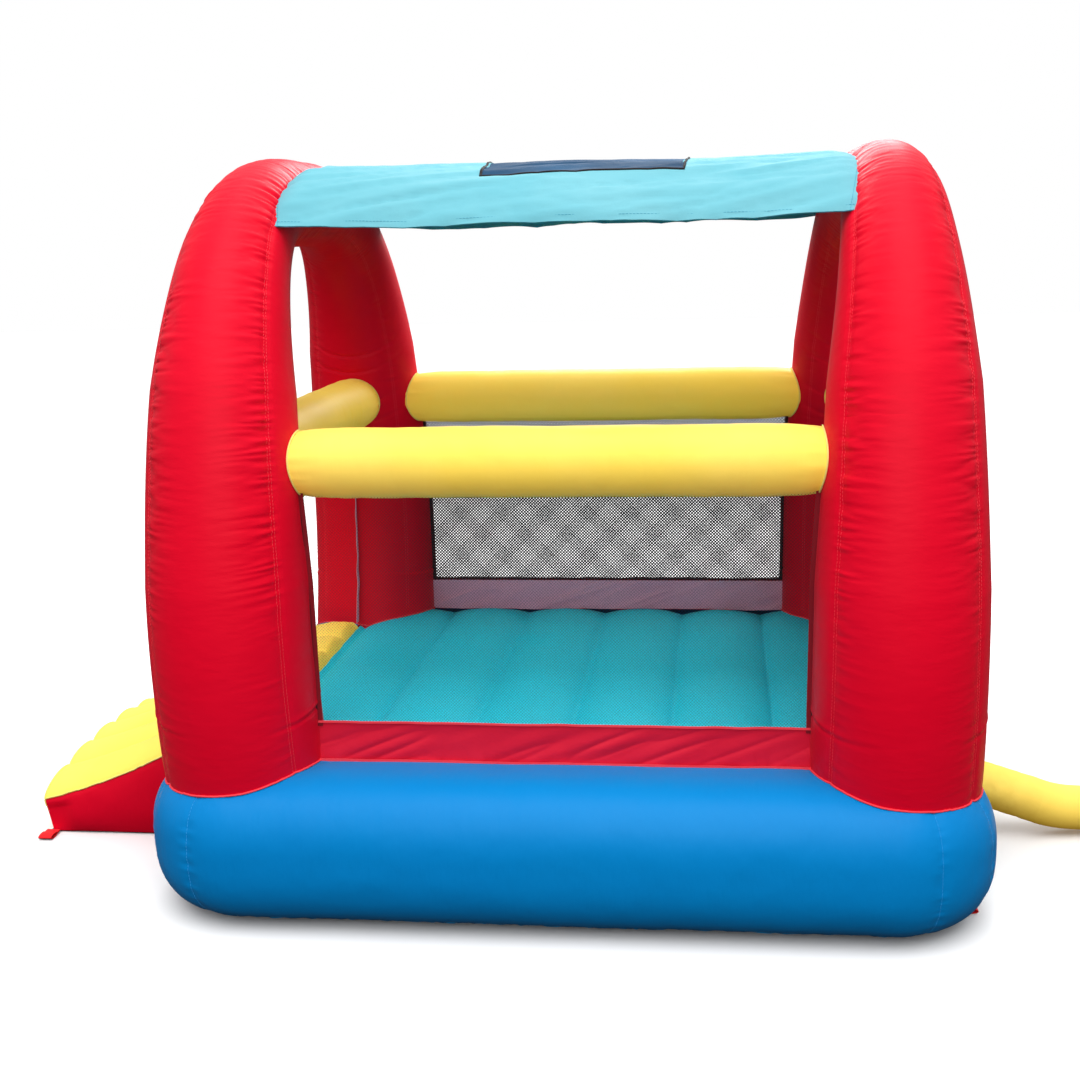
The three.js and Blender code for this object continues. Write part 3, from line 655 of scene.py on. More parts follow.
def stitchTree():
    # short stitches in a row along every edge, each one a small rounded bar
    tree = bpy.data.node_groups.new("stitches_along_edges", "GeometryNodeTree")
    sockets = tree.interface
    sockets.new_socket("Geometry", in_out="INPUT", socket_type="NodeSocketGeometry")
    sockets.new_socket("Stitch spacing", in_out="INPUT", socket_type="NodeSocketFloat")
    sockets.new_socket("Stitch length", in_out="INPUT", socket_type="NodeSocketFloat")
    sockets.new_socket("Thread radius", in_out="INPUT", socket_type="NodeSocketFloat")
    sockets.new_socket("Finish", in_out="INPUT", socket_type="NodeSocketMaterial")
    sockets.new_socket("Geometry", in_out="OUTPUT", socket_type="NodeSocketGeometry")
    nodes, links = tree.nodes, tree.links
    inputs = nodes.new("NodeGroupInput")
    inputs.label = "sizes"
    line = nodes.new("GeometryNodeMeshToCurve")
    line.label = "seam as a line"
    spots = nodes.new("GeometryNodeCurveToPoints")
    spots.label = "one spot for each stitch"
    bar = nodes.new("GeometryNodeMeshCylinder")
    bar.label = "one stitch"
    row = nodes.new("GeometryNodeInstanceOnPoints")
    row.label = "row of stitches"
    realize = nodes.new("GeometryNodeRealizeInstances")
    realize.label = "real mesh"
    finish = nodes.new("GeometryNodeSetMaterial")
    finish.label = "finish"
    output = nodes.new("NodeGroupOutput")
    output.label = "result"
    for count, node in enumerate((inputs, line, spots, bar, row, realize, finish, output)):
        node.location = (220 * count, 0)
    spots.mode = "LENGTH"
    bar.inputs["Vertices"].default_value = 6
    links.new(inputs.outputs["Geometry"], line.inputs["Mesh"])
    links.new(line.outputs["Curve"], spots.inputs["Curve"])
    links.new(inputs.outputs["Stitch spacing"], spots.inputs["Length"])
    links.new(inputs.outputs["Stitch length"], bar.inputs["Depth"])
    links.new(inputs.outputs["Thread radius"], bar.inputs["Radius"])
    links.new(spots.outputs["Points"], row.inputs["Points"])
    links.new(spots.outputs["Rotation"], row.inputs["Rotation"])
    links.new(bar.outputs["Mesh"], row.inputs["Instance"])
    links.new(row.outputs["Instances"], realize.inputs["Geometry"])
    links.new(realize.outputs["Geometry"], finish.inputs["Geometry"])
    links.new(inputs.outputs["Finish"], finish.inputs["Material"])
    links.new(finish.outputs["Geometry"], output.inputs["Geometry"])
    return tree


threadNodes = threadTree()
stitchNodes = stitchTree()


def laidAlong(name, paths, tree, values, body="house"):
    # runs a tree on the paths, keeps its result as a plain mesh and lets it ride
    carrier = edgeCarrier(name + "_lines", paths)
    modifier = carrier.modifiers.new("laid", "NODES")
    modifier.node_group = tree
    for socket in tree.interface.items_tree:
        if socket.in_out == "INPUT" and socket.name in values:
            modifier[socket.identifier] = values[socket.name]
    bpy.context.view_layer.update()
    evaluated = carrier.evaluated_get(bpy.context.evaluated_depsgraph_get())
    mesh = bpy.data.meshes.new_from_object(evaluated)
    mesh.name = name
    carrier.modifiers.remove(modifier)
    bpy.data.objects.remove(carrier)
    piece = bpy.data.objects.new(name, mesh)
    scene.collection.objects.link(piece)
    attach(piece, body)
    return piece


def piping(name, paths, radius, finish, sides=8, body="house"):
    values = {"Thread radius": radius, "Sides": sides, "Finish": finish}
    return laidAlong(name, paths, threadNodes, values, body)


def stitches(name, paths, finish, spacing=0.011, length=0.0070, radius=0.0007, body="house"):
    values = {"Stitch spacing": spacing, "Stitch length": length, "Thread radius": radius, "Finish": finish}
    return laidAlong(name, paths, stitchNodes, values, body)


def blownPiece(piece, node):
    # one air wall of the house, in place of its plain solid
    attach(piece, "house")
    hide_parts(node)


# base: four side panels and four corner panels

baseSettings = {
    "seamX": 1.045, "seamY": 0.968, "cornerRadius": 0.040,
    "centre": 0.060, "radius": 0.240, "centreZ": 0.245, "power": 2.6,
    "topAngle": 98, "bottomAngle": -80,
    "rows": 120, "cornerColumns": 60, "sideStep": 0.016,
    "cornerSeams": (24, 66),  # degrees round each corner
    "pucker": 0.0036, "puckerReach": 0.030,
    "weltAngle": -62, "weltPucker": 0.003,
    "footX": 1.035, "footY": 0.928, "footRadius": 0.262,  # where the arches stand
}


def baseProfile(settings, angles):
    turned = np.radians(angles)
    outset = settings["centre"] + settings["radius"] * squared(np.cos(turned), settings["power"])
    height = settings["centreZ"] + settings["radius"] * squared(np.sin(turned), settings["power"])
    return outset, height


def baseTopAt(x, y):
    # height of the base's bulge under a point, or a very low value beside it
    settings = baseSettings
    straightX = settings["seamX"] - settings["cornerRadius"]
    straightY = settings["seamY"] - settings["cornerRadius"]
    overX, overY = np.maximum(np.abs(x) - straightX, 0), np.maximum(np.abs(y) - straightY, 0)
    outset = np.hypot(overX, overY) - settings["cornerRadius"]
    reach = np.abs(outset - settings["centre"]) / settings["radius"]
    rise = np.where(reach < 1, np.maximum(1 - reach ** settings["power"], 0) ** (1 / settings["power"]), -9)
    return settings["centreZ"] + settings["radius"] * rise


def archFeetDistance(settings, grid):
    # distance from the edge of the nearest arch foot, in plan
    away = np.full(grid.shape[:-1], 9.0)
    for signX, signY in itertools.product((-1, 1), (-1, 1)):
        fromFoot = np.hypot(grid[..., 0] - signX * settings["footX"], grid[..., 1] - signY * settings["footY"])
        away = np.minimum(away, np.abs(fromFoot - settings["footRadius"]))
    return away


def baseRelief(settings, grid, lengthDown, seamDistance):
    x, y, z = grid[..., 0], grid[..., 1], grid[..., 2]
    relief = 0.0022 * softNoise(grid / 0.22, 3) + 0.0008 * softNoise(grid / 0.07, 4)
    weltDown = lengthDown - settings["weltAt"]
    upright = creases(stacked(x / 0.019, y / 0.019, z / 0.30), 5)
    relief += settings["weltPucker"] * np.exp(-(weltDown / 0.035) ** 2) * upright
    relief -= 0.004 * np.exp(-(weltDown / 0.006) ** 2)
    footPuckers = creases(stacked(x / 0.024, y / 0.024, z / 0.16), 6)
    onTop = np.clip((z - 0.36) / 0.08, 0, 1)
    relief += 0.0026 * onTop * np.exp(-archFeetDistance(settings, grid) / 0.035) * footPuckers
    if seamDistance is not None:
        level = creases(stacked(x / 0.13, y / 0.13, z / 0.021), 7)
        fade = np.clip(1.15 - np.abs(z - 0.25) / 0.26, 0, 1)
        relief += settings["pucker"] * fade * np.exp(-(seamDistance / settings["puckerReach"]) ** 2) * level
        relief -= 0.0035 * np.exp(-np.abs(seamDistance) / 0.010)
    return relief


def makeBase(settings):
    angles = np.linspace(settings["topAngle"], settings["bottomAngle"], settings["rows"])
    outset, height = baseProfile(settings, angles)
    down = np.concatenate([[0], np.cumsum(np.hypot(np.diff(outset), np.diff(height)))])
    settings["weltAt"] = np.interp(-settings["weltAngle"], -angles, down)
    straightX = settings["seamX"] - settings["cornerRadius"]
    straightY = settings["seamY"] - settings["cornerRadius"]
    seamPaths, weltPaths = [], []
    weltRow = int(np.argmin(np.abs(angles - settings["weltAngle"])))
    places = (("right_rear", 1, 1), ("left_rear", -1, 1), ("left_front", -1, -1), ("right_front", 1, -1))
    for name, signX, signY in places:
        turn = np.linspace(0, 90, settings["cornerColumns"])
        radius = settings["cornerRadius"] + outset[:, None]
        grid = stacked(signX * (straightX + radius * np.cos(np.radians(turn))),
                       signY * (straightY + radius * np.sin(np.radians(turn))), height[:, None])
        nearest = np.minimum(*[np.abs(turn - seam) for seam in settings["cornerSeams"]])
        distance = np.radians(nearest)[None, :] * np.maximum(radius, 0.05)
        normal = gridNormals(grid)
        normal *= np.sign((normal * (grid - [0, 0, 0.2])).sum())
        grid = grid + normal * baseRelief(settings, grid, down[:, None], distance)[..., None]
        cutMap = stacked(np.radians(turn)[None, :] * 0.34, down[:, None])
        piece = skinPiece(f"base_corner_{name}_skin", grid, cutMap, blueCloth, (signX, signY, 0.3))
        blownPiece(piece, f"base_corner_{name}")
        for seam in settings["cornerSeams"]:
            column = int(np.argmin(np.abs(turn - seam)))
            seamPaths.append((grid[:, column] + 0.0008 * normal[:, column], False))
        weltPaths.append((grid[weltRow] + 0.001 * normal[weltRow], False))
    for name, axis, sign in (("rear", 0, 1), ("left", 1, -1), ("front", 0, -1), ("right", 1, 1)):
        half = straightX if axis == 0 else straightY
        count = int(2 * half / settings["sideStep"])
        run = np.linspace(-half, half, count)
        out = sign * ((settings["seamY"] if axis == 0 else settings["seamX"]) + outset[:, None])
        places = (run[None, :], out) if axis == 0 else (out, run[None, :])
        grid = stacked(*places, height[:, None])
        normal = gridNormals(grid)
        normal *= np.sign((normal * (grid - [0, 0, 0.2])).sum())
        grid = grid + normal * baseRelief(settings, grid, down[:, None], None)[..., None]
        cutMap = stacked(run[None, :], down[:, None])
        outward = (0, sign, 0.3) if axis == 0 else (sign, 0, 0.3)
        piece = skinPiece(f"base_side_{name}_skin", grid, cutMap, blueCloth, outward)
        blownPiece(piece, f"base_side_{name}")
        weltPaths.append((grid[weltRow] + 0.001 * normal[weltRow], False))
    piping("base_bottom_welt", weltPaths, 0.0035, blueThread)
    stitches("base_corner_stitches", seamPaths, blueThread)


makeBase(baseSettings)
print("base made")


# floor

floorSettings = {
    "halfX": 1.043, "halfY": 0.966, "valleyZ": 0.460, "crownZ": 0.502, "channel": 0.340, "endRound": 0.120,
    "stepX": 0.010, "stepY": 0.014, "pucker": 0.0022,
}


def floorTopAt(x, y):
    settings = floorSettings
    across = np.sqrt(np.abs(np.sin(np.pi * x / settings["channel"])))
    alongEnd = np.clip((settings["halfY"] - np.abs(y)) / settings["endRound"], 0, 1)
    rise = across * np.sqrt(np.maximum(0, 1 - (1 - alongEnd) ** 2))
    return settings["valleyZ"] + (settings["crownZ"] - settings["valleyZ"]) * rise


def makeFloor(settings):
    x = np.linspace(-settings["halfX"], settings["halfX"], int(2 * settings["halfX"] / settings["stepX"]))
    y = np.linspace(-settings["halfY"], settings["halfY"], int(2 * settings["halfY"] / settings["stepY"]))
    x, y = x[:, None], y[None, :]
    z = floorTopAt(x, y)
    fromValley = np.abs((x / settings["channel"] + 0.5) % 1 - 0.5) * settings["channel"]
    z = z + settings["pucker"] * np.exp(-(fromValley / 0.035) ** 2) * creases(stacked(x / 0.09, y / 0.030), 11)
    z = z + 0.0018 * softNoise(stacked((x + 0.7 * y) / 0.07, (0.7 * x - y) / 0.7), 12)
    z = z + 0.0020 * softNoise(stacked(x / 0.2, y / 0.25), 13)
    grid = stacked(x, y, z)
    piece = skinPiece("floor_top_skin", grid, stacked(x, y), tealCloth, (0, 0, 1))
    blownPiece(piece, "floor_top")


makeFloor(floorSettings)
print("floor made")


# arches

archSettings = {
    "x": 1.035, "halfSpan": 0.990, "footZ": 0.480, "crownZ": 2.248, "power": 3.33,
    "tuck": 0.062, "tuckBelow": 1.000, "tuckAt": 0.450, "footFall": 0.0225,
    "radii": (0.262, 0.256, 0.224, 0.152),
    "cuts": (-6, 26, 63, 117, 154, 186),
    "names": ("front_leg", "front_shoulder", "crown", "rear_shoulder", "rear_leg"),
    "ringStep": 0.0048, "around": 100,
    "outerSeams": ((-36, -1), (-144, 1)),  # degrees round the tube, and which way the full panel lies
    "innerSeams": (45, 135),
    "pucker": 0.0070, "puckerReach": 0.098,
}


def archCentre(angle):
    settings = archSettings
    turned = np.radians(angle)
    beyond = np.maximum(0, np.maximum(-angle, angle - 180))
    y = settings["halfSpan"] * squared(np.cos(turned), settings["power"])
    rise = squared(np.maximum(0, np.sin(turned)), settings["power"])
    z = settings["footZ"] + (settings["crownZ"] - settings["footZ"]) * rise - settings["footFall"] * beyond
    below = np.maximum(0, settings["tuckBelow"] - z) / (settings["tuckBelow"] - settings["tuckAt"])
    reach = np.where(beyond > 0, settings["halfSpan"], np.abs(y))
    return np.where(angle < 90, -1, 1) * (reach - settings["tuck"] * below ** 2), z


def archRadius(z):
    settings = archSettings
    share = (z - settings["footZ"]) / (settings["crownZ"] - settings["footZ"])
    return np.interp(share, (0, 1 / 3, 2 / 3, 1), settings["radii"])


archTable = np.linspace(-6, 186, 9601)
archTableY, archTableZ = archCentre(archTable)
archTableLength = np.concatenate([[0], np.cumsum(np.hypot(np.diff(archTableY), np.diff(archTableZ)))])


def archStations(lengths):
    # centre, direction of travel and radius at distances along the hoop
    angle = np.interp(lengths, archTableLength, archTable)
    y, z = archCentre(angle)
    aheadY = np.interp(lengths + 0.02, archTableLength, archTableY)
    aheadZ = np.interp(lengths + 0.02, archTableLength, archTableZ)
    backY = np.interp(lengths - 0.02, archTableLength, archTableY)
    backZ = np.interp(lengths - 0.02, archTableLength, archTableZ)
    size = np.maximum(np.hypot(aheadY - backY, aheadZ - backZ), 1e-9)
    return y, z, (aheadY - backY) / size, (aheadZ - backZ) / size, archRadius(z)


def archRelief(settings, lengths, around, z, radius, seed):
    # how far the skin stands off the plain round tube: dips at seams, gathered puckers beside them
    total = 0.0016 * softNoise(stacked(lengths / 0.20, around / 50, seed + 0.5), 20)
    high = np.interp(z, (0.5, 0.9, 1.25, 1.6, 2.15, 2.35), (0.25, 0.32, 0.75, 1.0, 1.0, 0.7))
    for number, (seam, side) in enumerate(settings["outerSeams"]):
        offset = ((around - seam) * side + 180) % 360 - 180
        distance = np.radians(offset) * radius
        gathered = np.where(distance > 0, np.exp(-(np.maximum(distance, 0) / settings["puckerReach"]) ** 1.6),
                            np.exp(-(distance / 0.016) ** 2) * 0.5)
        wave = creases(stacked((lengths + 0.10 * distance) / 0.0145, distance / 0.13, seed * 3.7 + number), 21)
        ragged = 0.75 + 0.5 * softNoise(stacked(lengths / 0.11, distance * 0, seed * 1.3 + number), 22)
        total = total + settings["pucker"] * high * gathered * ragged * wave
        total = total - 0.0045 * np.exp(-np.abs(distance) / 0.030) - 0.0025 * np.exp(-(distance / 0.005) ** 2)
    for number, seam in enumerate(settings["innerSeams"]):
        distance = np.radians((around - seam + 180) % 360 - 180) * radius
        wave = creases(stacked(lengths / 0.021, distance / 0.12, seed * 2.9 + number), 23)
        total = total + 0.0022 * high * np.exp(-(distance / 0.035) ** 2) * wave
        total = total - 0.003 * np.exp(-np.abs(distance) / 0.020) - 0.0018 * np.exp(-(distance / 0.005) ** 2)
    inner = np.clip(1.15 - np.abs(((around - 90 + 180) % 360) - 180) / 60, 0, 1)
    bow = 0.03 * (((around - 90 + 180) % 360 - 180) / 45) ** 2
    for spot in (1.05, 1.14, 1.29, 1.37):
        for place in (spot, archTableLength[-1] - spot):
            total = total - 0.0055 * inner * np.exp(-((lengths - place + bow) / 0.008) ** 2)
    for place in (0.33, archTableLength[-1] - 0.33):
        facing = np.cos(np.radians(around - 12))
        partly = np.clip(facing - 0.35, 0, 1) + np.clip(-facing - 0.5, 0, 1)
        ripple = place + 0.006 * np.sin(np.radians(around * 3))
        total = total - 0.006 * partly * np.exp(-((lengths - ripple) / 0.007) ** 2)
        total = total + 0.004 * partly * np.exp(-((lengths - ripple - 0.012) / 0.009) ** 2)
    return total


def archSurface(settings, x, lengths, around, seed, stand=0.0):
    y, z, directionY, directionZ, radius = archStations(lengths)
    radius = radius + archRelief(settings, lengths, around, z, radius, seed) + stand
    turned = np.radians(around)
    rise = radius * np.sin(turned)
    return stacked(x + radius * np.cos(turned), y + rise * directionZ, z - rise * directionY)


def makeArches(settings):
    seamPaths, footPaths = [], []
    for seed, (sideName, x) in enumerate((("left", -settings["x"]), ("right", settings["x"]))):
        around = np.arange(settings["around"]) * 360 / settings["around"]
        closing = np.arange(settings["around"] + 1) * 360 / settings["around"]
        for name, first, last in zip(settings["names"], settings["cuts"], settings["cuts"][1:]):
            start, end = np.interp((first, last), archTable, archTableLength)
            if name == "front_leg":
                start += 0.06
            if name == "rear_leg":
                end -= 0.06
            rings = np.linspace(start, end, int((end - start) / settings["ringStep"]))
            grid = archSurface(settings, x, rings[:, None], around[None, :], seed)
            cutMap = stacked(rings[:, None], np.radians(closing)[None, :] * 0.24)
            piece = tubePiece(f"{sideName}_arch_{name}_skin", grid, cutMap, redCloth)
            blownPiece(piece, f"{sideName}_arch_{name}")
        whole = np.linspace(0.16, archTableLength[-1] - 0.16, 900)
        for seam in [seam for seam, _ in settings["outerSeams"]] + list(settings["innerSeams"]):
            for shift in (-1.2, 1.2):
                path = archSurface(settings, x, whole, np.full(900, seam + shift), seed, 0.0006)
                seamPaths.append((path, False))
        for low, high in ((0.0, 0.45), (archTableLength[-1], archTableLength[-1] - 0.45)):
            search = np.linspace(low, high, 400)
            turns = np.linspace(0, 360, 181)[:-1]
            grid = archSurface(settings, x, search[:, None], turns[None, :], seed, 0.0015)
            inside = np.maximum(baseTopAt(grid[..., 0], grid[..., 1]),
                                np.where((np.abs(grid[..., 0]) < 1.043) & (np.abs(grid[..., 1]) < 0.966),
                                         floorTopAt(grid[..., 0], grid[..., 1]), -9))
            above = grid[..., 2] > inside + 0.001
            row = np.argmax(above, 0)
            footPaths.append((grid[row, np.arange(180)], True))
    stitches("arch_seam_stitches", seamPaths, redThread)
    piping("arch_foot_welts", footPaths, 0.0032, redThread)


makeArches(archSettings)
print("arches made")


# rails

railSettings = {
    "z": 1.440, "radius": 0.110, "y": 0.925, "x": 1.030, "around": 84, "step": 0.007,
    "neck": 0.010, "pucker": 0.0028,
}


def legAt(z):
    # centre and radius of the legs at a height, and how upright they stand
    front = archTable < 90
    y = -np.interp(z, archTableZ[front], archTableY[front])
    above = -np.interp(z + 0.02, archTableZ[front], archTableY[front])
    upright = 0.02 / np.hypot(0.02, above - y)
    return y, archRadius(z), upright


def legInnerEdge(z, along, level):
    # where the legs' skin crosses an upright plane, from the middle of that side
    y, radius, upright = legAt(z)
    if along == "x":
        offset = (level - y) * upright
        return archSettings["x"] - np.sqrt(np.maximum(radius ** 2 - offset ** 2, 1e-6))
    offset = level - archSettings["x"]
    return y - np.sqrt(np.maximum(radius ** 2 - offset ** 2, 1e-6)) / upright


def makeRails(settings):
    ends = []
    turns = np.arange(settings["around"]) * 360 / settings["around"]
    closing = np.radians(np.arange(settings["around"] + 1) * 360 / settings["around"])
    for seed, (name, along, fixed) in enumerate((("front", "x", -settings["y"]), ("rear", "x", settings["y"]),
                                                 ("left", "y", -settings["x"]), ("right", "y", settings["x"]))):
        turned = np.radians(turns)
        across = fixed + settings["radius"] * np.cos(turned)
        height = settings["z"] + settings["radius"] * np.sin(turned)
        reach = legInnerEdge(height, along, np.abs(across))
        half = float(reach.max()) + 0.045
        run = np.linspace(-half, half, int(2 * half / settings["step"]))[:, None]
        toEnd = reach[None, :] - np.abs(run)
        girth = turned[None, :] * settings["radius"]
        lengthwise = creases(stacked(run / 0.20, girth / 0.016, seed + 0.3), 31)
        relief = -settings["neck"] * np.exp(-np.maximum(toEnd, 0) / 0.05)
        relief = relief + settings["pucker"] * np.exp(-(toEnd / 0.075) ** 2) * lengthwise
        relief = relief + 0.0016 * softNoise(stacked(run / 0.16, turned[None, :] * 1.2, seed + 0.7), 32)
        relief = relief + 0.0010 * creases(stacked(run / 0.05, turned[None, :] * 0.9, seed + 0.9), 33)
        radius = settings["radius"] + relief
        side, rise = fixed + radius * np.cos(turned), settings["z"] + radius * np.sin(turned)
        grid = stacked(run, side, rise) if along == "x" else stacked(side, run, rise)
        cutMap = stacked(run, closing[None, :] * settings["radius"])
        blownPiece(tubePiece(f"rail_{name}_skin", grid, cutMap, yellowCloth), f"rail_{name}")
        for sign in (-1, 1):
            ringRadius = settings["radius"] - settings["neck"] + 0.002
            side = fixed + ringRadius * np.cos(turned)
            rise = settings["z"] + ringRadius * np.sin(turned)
            at = sign * (legInnerEdge(rise, along, np.abs(side)) - 0.004)
            ends.append((stacked(at, side, rise) if along == "x" else stacked(side, at, rise), True))
    piping("rail_end_welts", ends, 0.0030, yellowThread)


makeRails(railSettings)
print("rails made")


# foot bands, nets and doorway strips

wallSettings = {
    "y": 0.973, "x": 1.050, "bandTop": 0.610, "thickness": 0.0016,
    "bandCrease": 0.0052, "pitch": 0.0135,
    "fineThread": 0.00028, "finePitch": 0.0100, "heavyThread": 0.0027,
    "inner": {"x": 0.80, "y": 0.715}, "tuckedIn": 0.06, "netTop": 1.375, "cordRadius": 0.0032,
}


def bandGrid(settings, along, sign, half, seed):
    run = np.linspace(-half, half, int(2 * half / 0.006))[:, None]
    share = np.linspace(0, 1, 40)[None, :]
    bottom = 0.479 + 0.004 * softNoise(stacked(run / 0.16, seed + 0.1), 41)
    z = bottom + (settings["bandTop"] - bottom) * share
    slack = np.sin(np.pi * share) ** 0.7
    slanted = creases(stacked((run + 1.2 * z) / 0.42, (z - 0.42 * run) / 0.040, seed + 0.2), 42)
    fans = creases(stacked(run / 0.045, z / 0.10, seed + 0.5), 43)
    relief = settings["bandCrease"] * slack * slanted + 0.004 * np.exp(-share / 0.22) * fans
    out = sign * ((settings["y"] if along == "x" else settings["x"]) + relief - 0.002)
    grid = stacked(run, out, z) if along == "x" else stacked(out, run, z)
    return grid, stacked(run, z)


def netStrands(settings, along, sign, half, low, high, pitch):
    # two crossing sets of slanted strands in the panel, as straight runs from edge to edge
    paths = []
    level = settings["y"] if along == "x" else settings["x"]
    for number, lean in enumerate((1, -1)):
        start = -half - (high - low)
        for offset in np.arange(start, half + (high - low), pitch):
            lowRun = offset if lean > 0 else offset + (high - low)
            highRun = lowRun + lean * (high - low)
            pair = []
            for a, za, b, zb in ((lowRun, low, highRun, high), (highRun, high, lowRun, low)):
                clipped = min(max(a, -half), half)
                pair.append((clipped, za + (zb - za) * (clipped - a) / (b - a)))
            if abs(pair[0][0] - pair[1][0]) < pitch:
                continue
            out = sign * (level + 0.0004 * (number * 2 - 1))
            points = [(r, out, z) if along == "x" else (out, r, z) for r, z in pair]
            paths.append((np.array(points), False))
    return paths


def ribbon(name, path, width, normal, material):
    # a flat tape that follows a path, standing on its edge line
    path = np.asarray(path, float)
    direction = np.gradient(path, axis=0)
    direction /= np.linalg.norm(direction, axis=1, keepdims=True)
    side = np.cross(direction, np.asarray(normal, float))
    side /= np.linalg.norm(side, axis=1, keepdims=True)
    share = np.linspace(-0.5, 0.5, 4)[None, :, None]
    grid = path[:, None, :] + side[:, None, :] * width * share
    length = np.concatenate([[0], np.cumsum(np.linalg.norm(np.diff(path, axis=0), axis=1))])
    cutMap = stacked(length[:, None], np.linspace(0, width, 4)[None, :])
    piece = sheetPiece(name, grid, cutMap, [material], 0.0022, normal)
    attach(piece, "house")
    return piece


def makeWalls(settings):
    bands = (("front", "x", -1), ("rear", "x", 1), ("right", "y", 1))
    for seed, (name, along, sign) in enumerate(bands):
        half = settings["inner"][along] + settings["tuckedIn"]
        outward = (0, sign, 0) if along == "x" else (sign, 0, 0)
        grid, cutMap = bandGrid(settings, along, sign, half, seed)
        band = sheetPiece(f"band_{name}_cloth", grid, cutMap, [bandCloth, bandBack], settings["thickness"],
                          outward)
        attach(band, "house")
        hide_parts(f"band_{name}")
        level = settings["y"] if along == "x" else settings["x"]
        edge = np.linspace(-half, half, 160)
        # the front band's top binding is bright red thread; the rear and side ones are the red binding with
        # painted shade
        topBinding = (0.007, redThread) if name == "front" else (0.016, shadedRedBinding)
        for part, z, width, material in (("top", settings["bandTop"] + 0.004, *topBinding),
                                         ("low", 0.484, 0.012, redThread)):
            wobble = 0.0015 * softNoise(stacked(edge / 0.07, seed + 0.9), 44)
            out = sign * (level + 0.004) + 0 * edge
            path = stacked(edge, out, z + wobble) if along == "x" else stacked(out, edge, z + wobble)
            ribbon(f"band_{name}_{part}_binding", path, width, outward, material)
        low, high = settings["bandTop"] + 0.003, settings["netTop"]
        thread, pitch = ((settings["fineThread"], settings["finePitch"]) if name == "front"
                         else (settings["heavyThread"], settings["pitch"]))
        netHalf = half + 0.05
        strands = netStrands(settings, along, sign, netHalf, low, high, pitch)
        net = piping(f"net_{name}_strands", strands, thread, blackThread, sides=4)
        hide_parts(f"net_{name}")
        heights = np.linspace(0.60, 1.36, 60)
        reach = legInnerEdge(heights, along, level)
        for end, side in (("first", -1), ("second", 1)):
            run = side * (reach - 0.006)
            out = np.full(60, sign * (level + 0.002))
            path = stacked(run, out, heights) if along == "x" else stacked(out, run, heights)
            # the net's side bindings are the red binding with painted shade
            ribbon(f"net_{name}_{end}_binding", path, 0.016, outward, shadedRedBinding)
            run = side * (reach + 0.003)
            path = stacked(run, out * 1.004, heights) if along == "x" else stacked(out * 1.004, run, heights)
            piping(f"net_{name}_{end}_cord", [(path, False)], settings["cordRadius"], blackBinding)
    for seed, (name, signY) in enumerate((("front", -1), ("rear", 1))):
        z = np.linspace(0.498, 1.372, 120)[:, None]
        reach = legInnerEdge(z, "y", settings["x"])
        share = np.linspace(0, 1, 12)[None, :]
        width = 0.020 + 0.022 * np.clip((1.0 - z) / 0.5, 0, 1)
        run = reach + 0.012 - (width + 0.012) * share
        out = -settings["x"] - 0.003 * softNoise(stacked(z / 0.06, share * 2, seed + 0.4), 45)
        grid = stacked(out, signY * run, z)
        strip = sheetPiece(f"doorway_strip_{name}_cloth", grid, stacked(run, z), [bandCloth, bandBack],
                           settings["thickness"], (-1, 0, 0))
        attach(strip, "house")
        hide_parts(f"doorway_strip_{name}")


makeWalls(wallSettings)
print("walls made")


# canopy and skylight

canopySettings = {
    "hemAngle": 59.4, "crest": 0.131, "hem": 0.096, "rows": 110, "columns": 200, "tuckIn": 0.012,
    "fold": 0.0120, "slope": 0.24,
    "pulls": (  # the deepest tension lines: from x and length along the cloth, to x and length, depth
        (-0.86, 0.02, -0.22, 0.19, 0.016), (-0.25, 0.08, 0.80, 0.27, 0.012), (-0.10, 0.03, 0.55, 0.10, 0.007),
        (-0.80, 0.14, -0.35, 0.25, 0.008), (0.20, 0.14, 0.86, 0.20, 0.008),
    ),
    "hole": (-0.270, 0.384, -0.500, 0.100), "sag": 0.019,
}


def canopyLine(angle):
    settings = canopySettings
    y, z = archCentre(angle)
    aheadY, aheadZ = archCentre(angle + 0.4)
    backY, backZ = archCentre(angle - 0.4)
    size = np.hypot(aheadY - backY, aheadZ - backZ)
    share = np.minimum(1, np.abs(angle - 90) / (90 - settings["hemAngle"]))
    offset = settings["crest"] + (settings["hem"] - settings["crest"]) * share ** 2
    inset = np.sqrt(np.maximum(archRadius(z) ** 2 - offset ** 2, 0.0004))
    reach = archSettings["x"] - inset + settings["tuckIn"]
    return y - offset * (aheadZ - backZ) / size, z + offset * (aheadY - backY) / size, reach


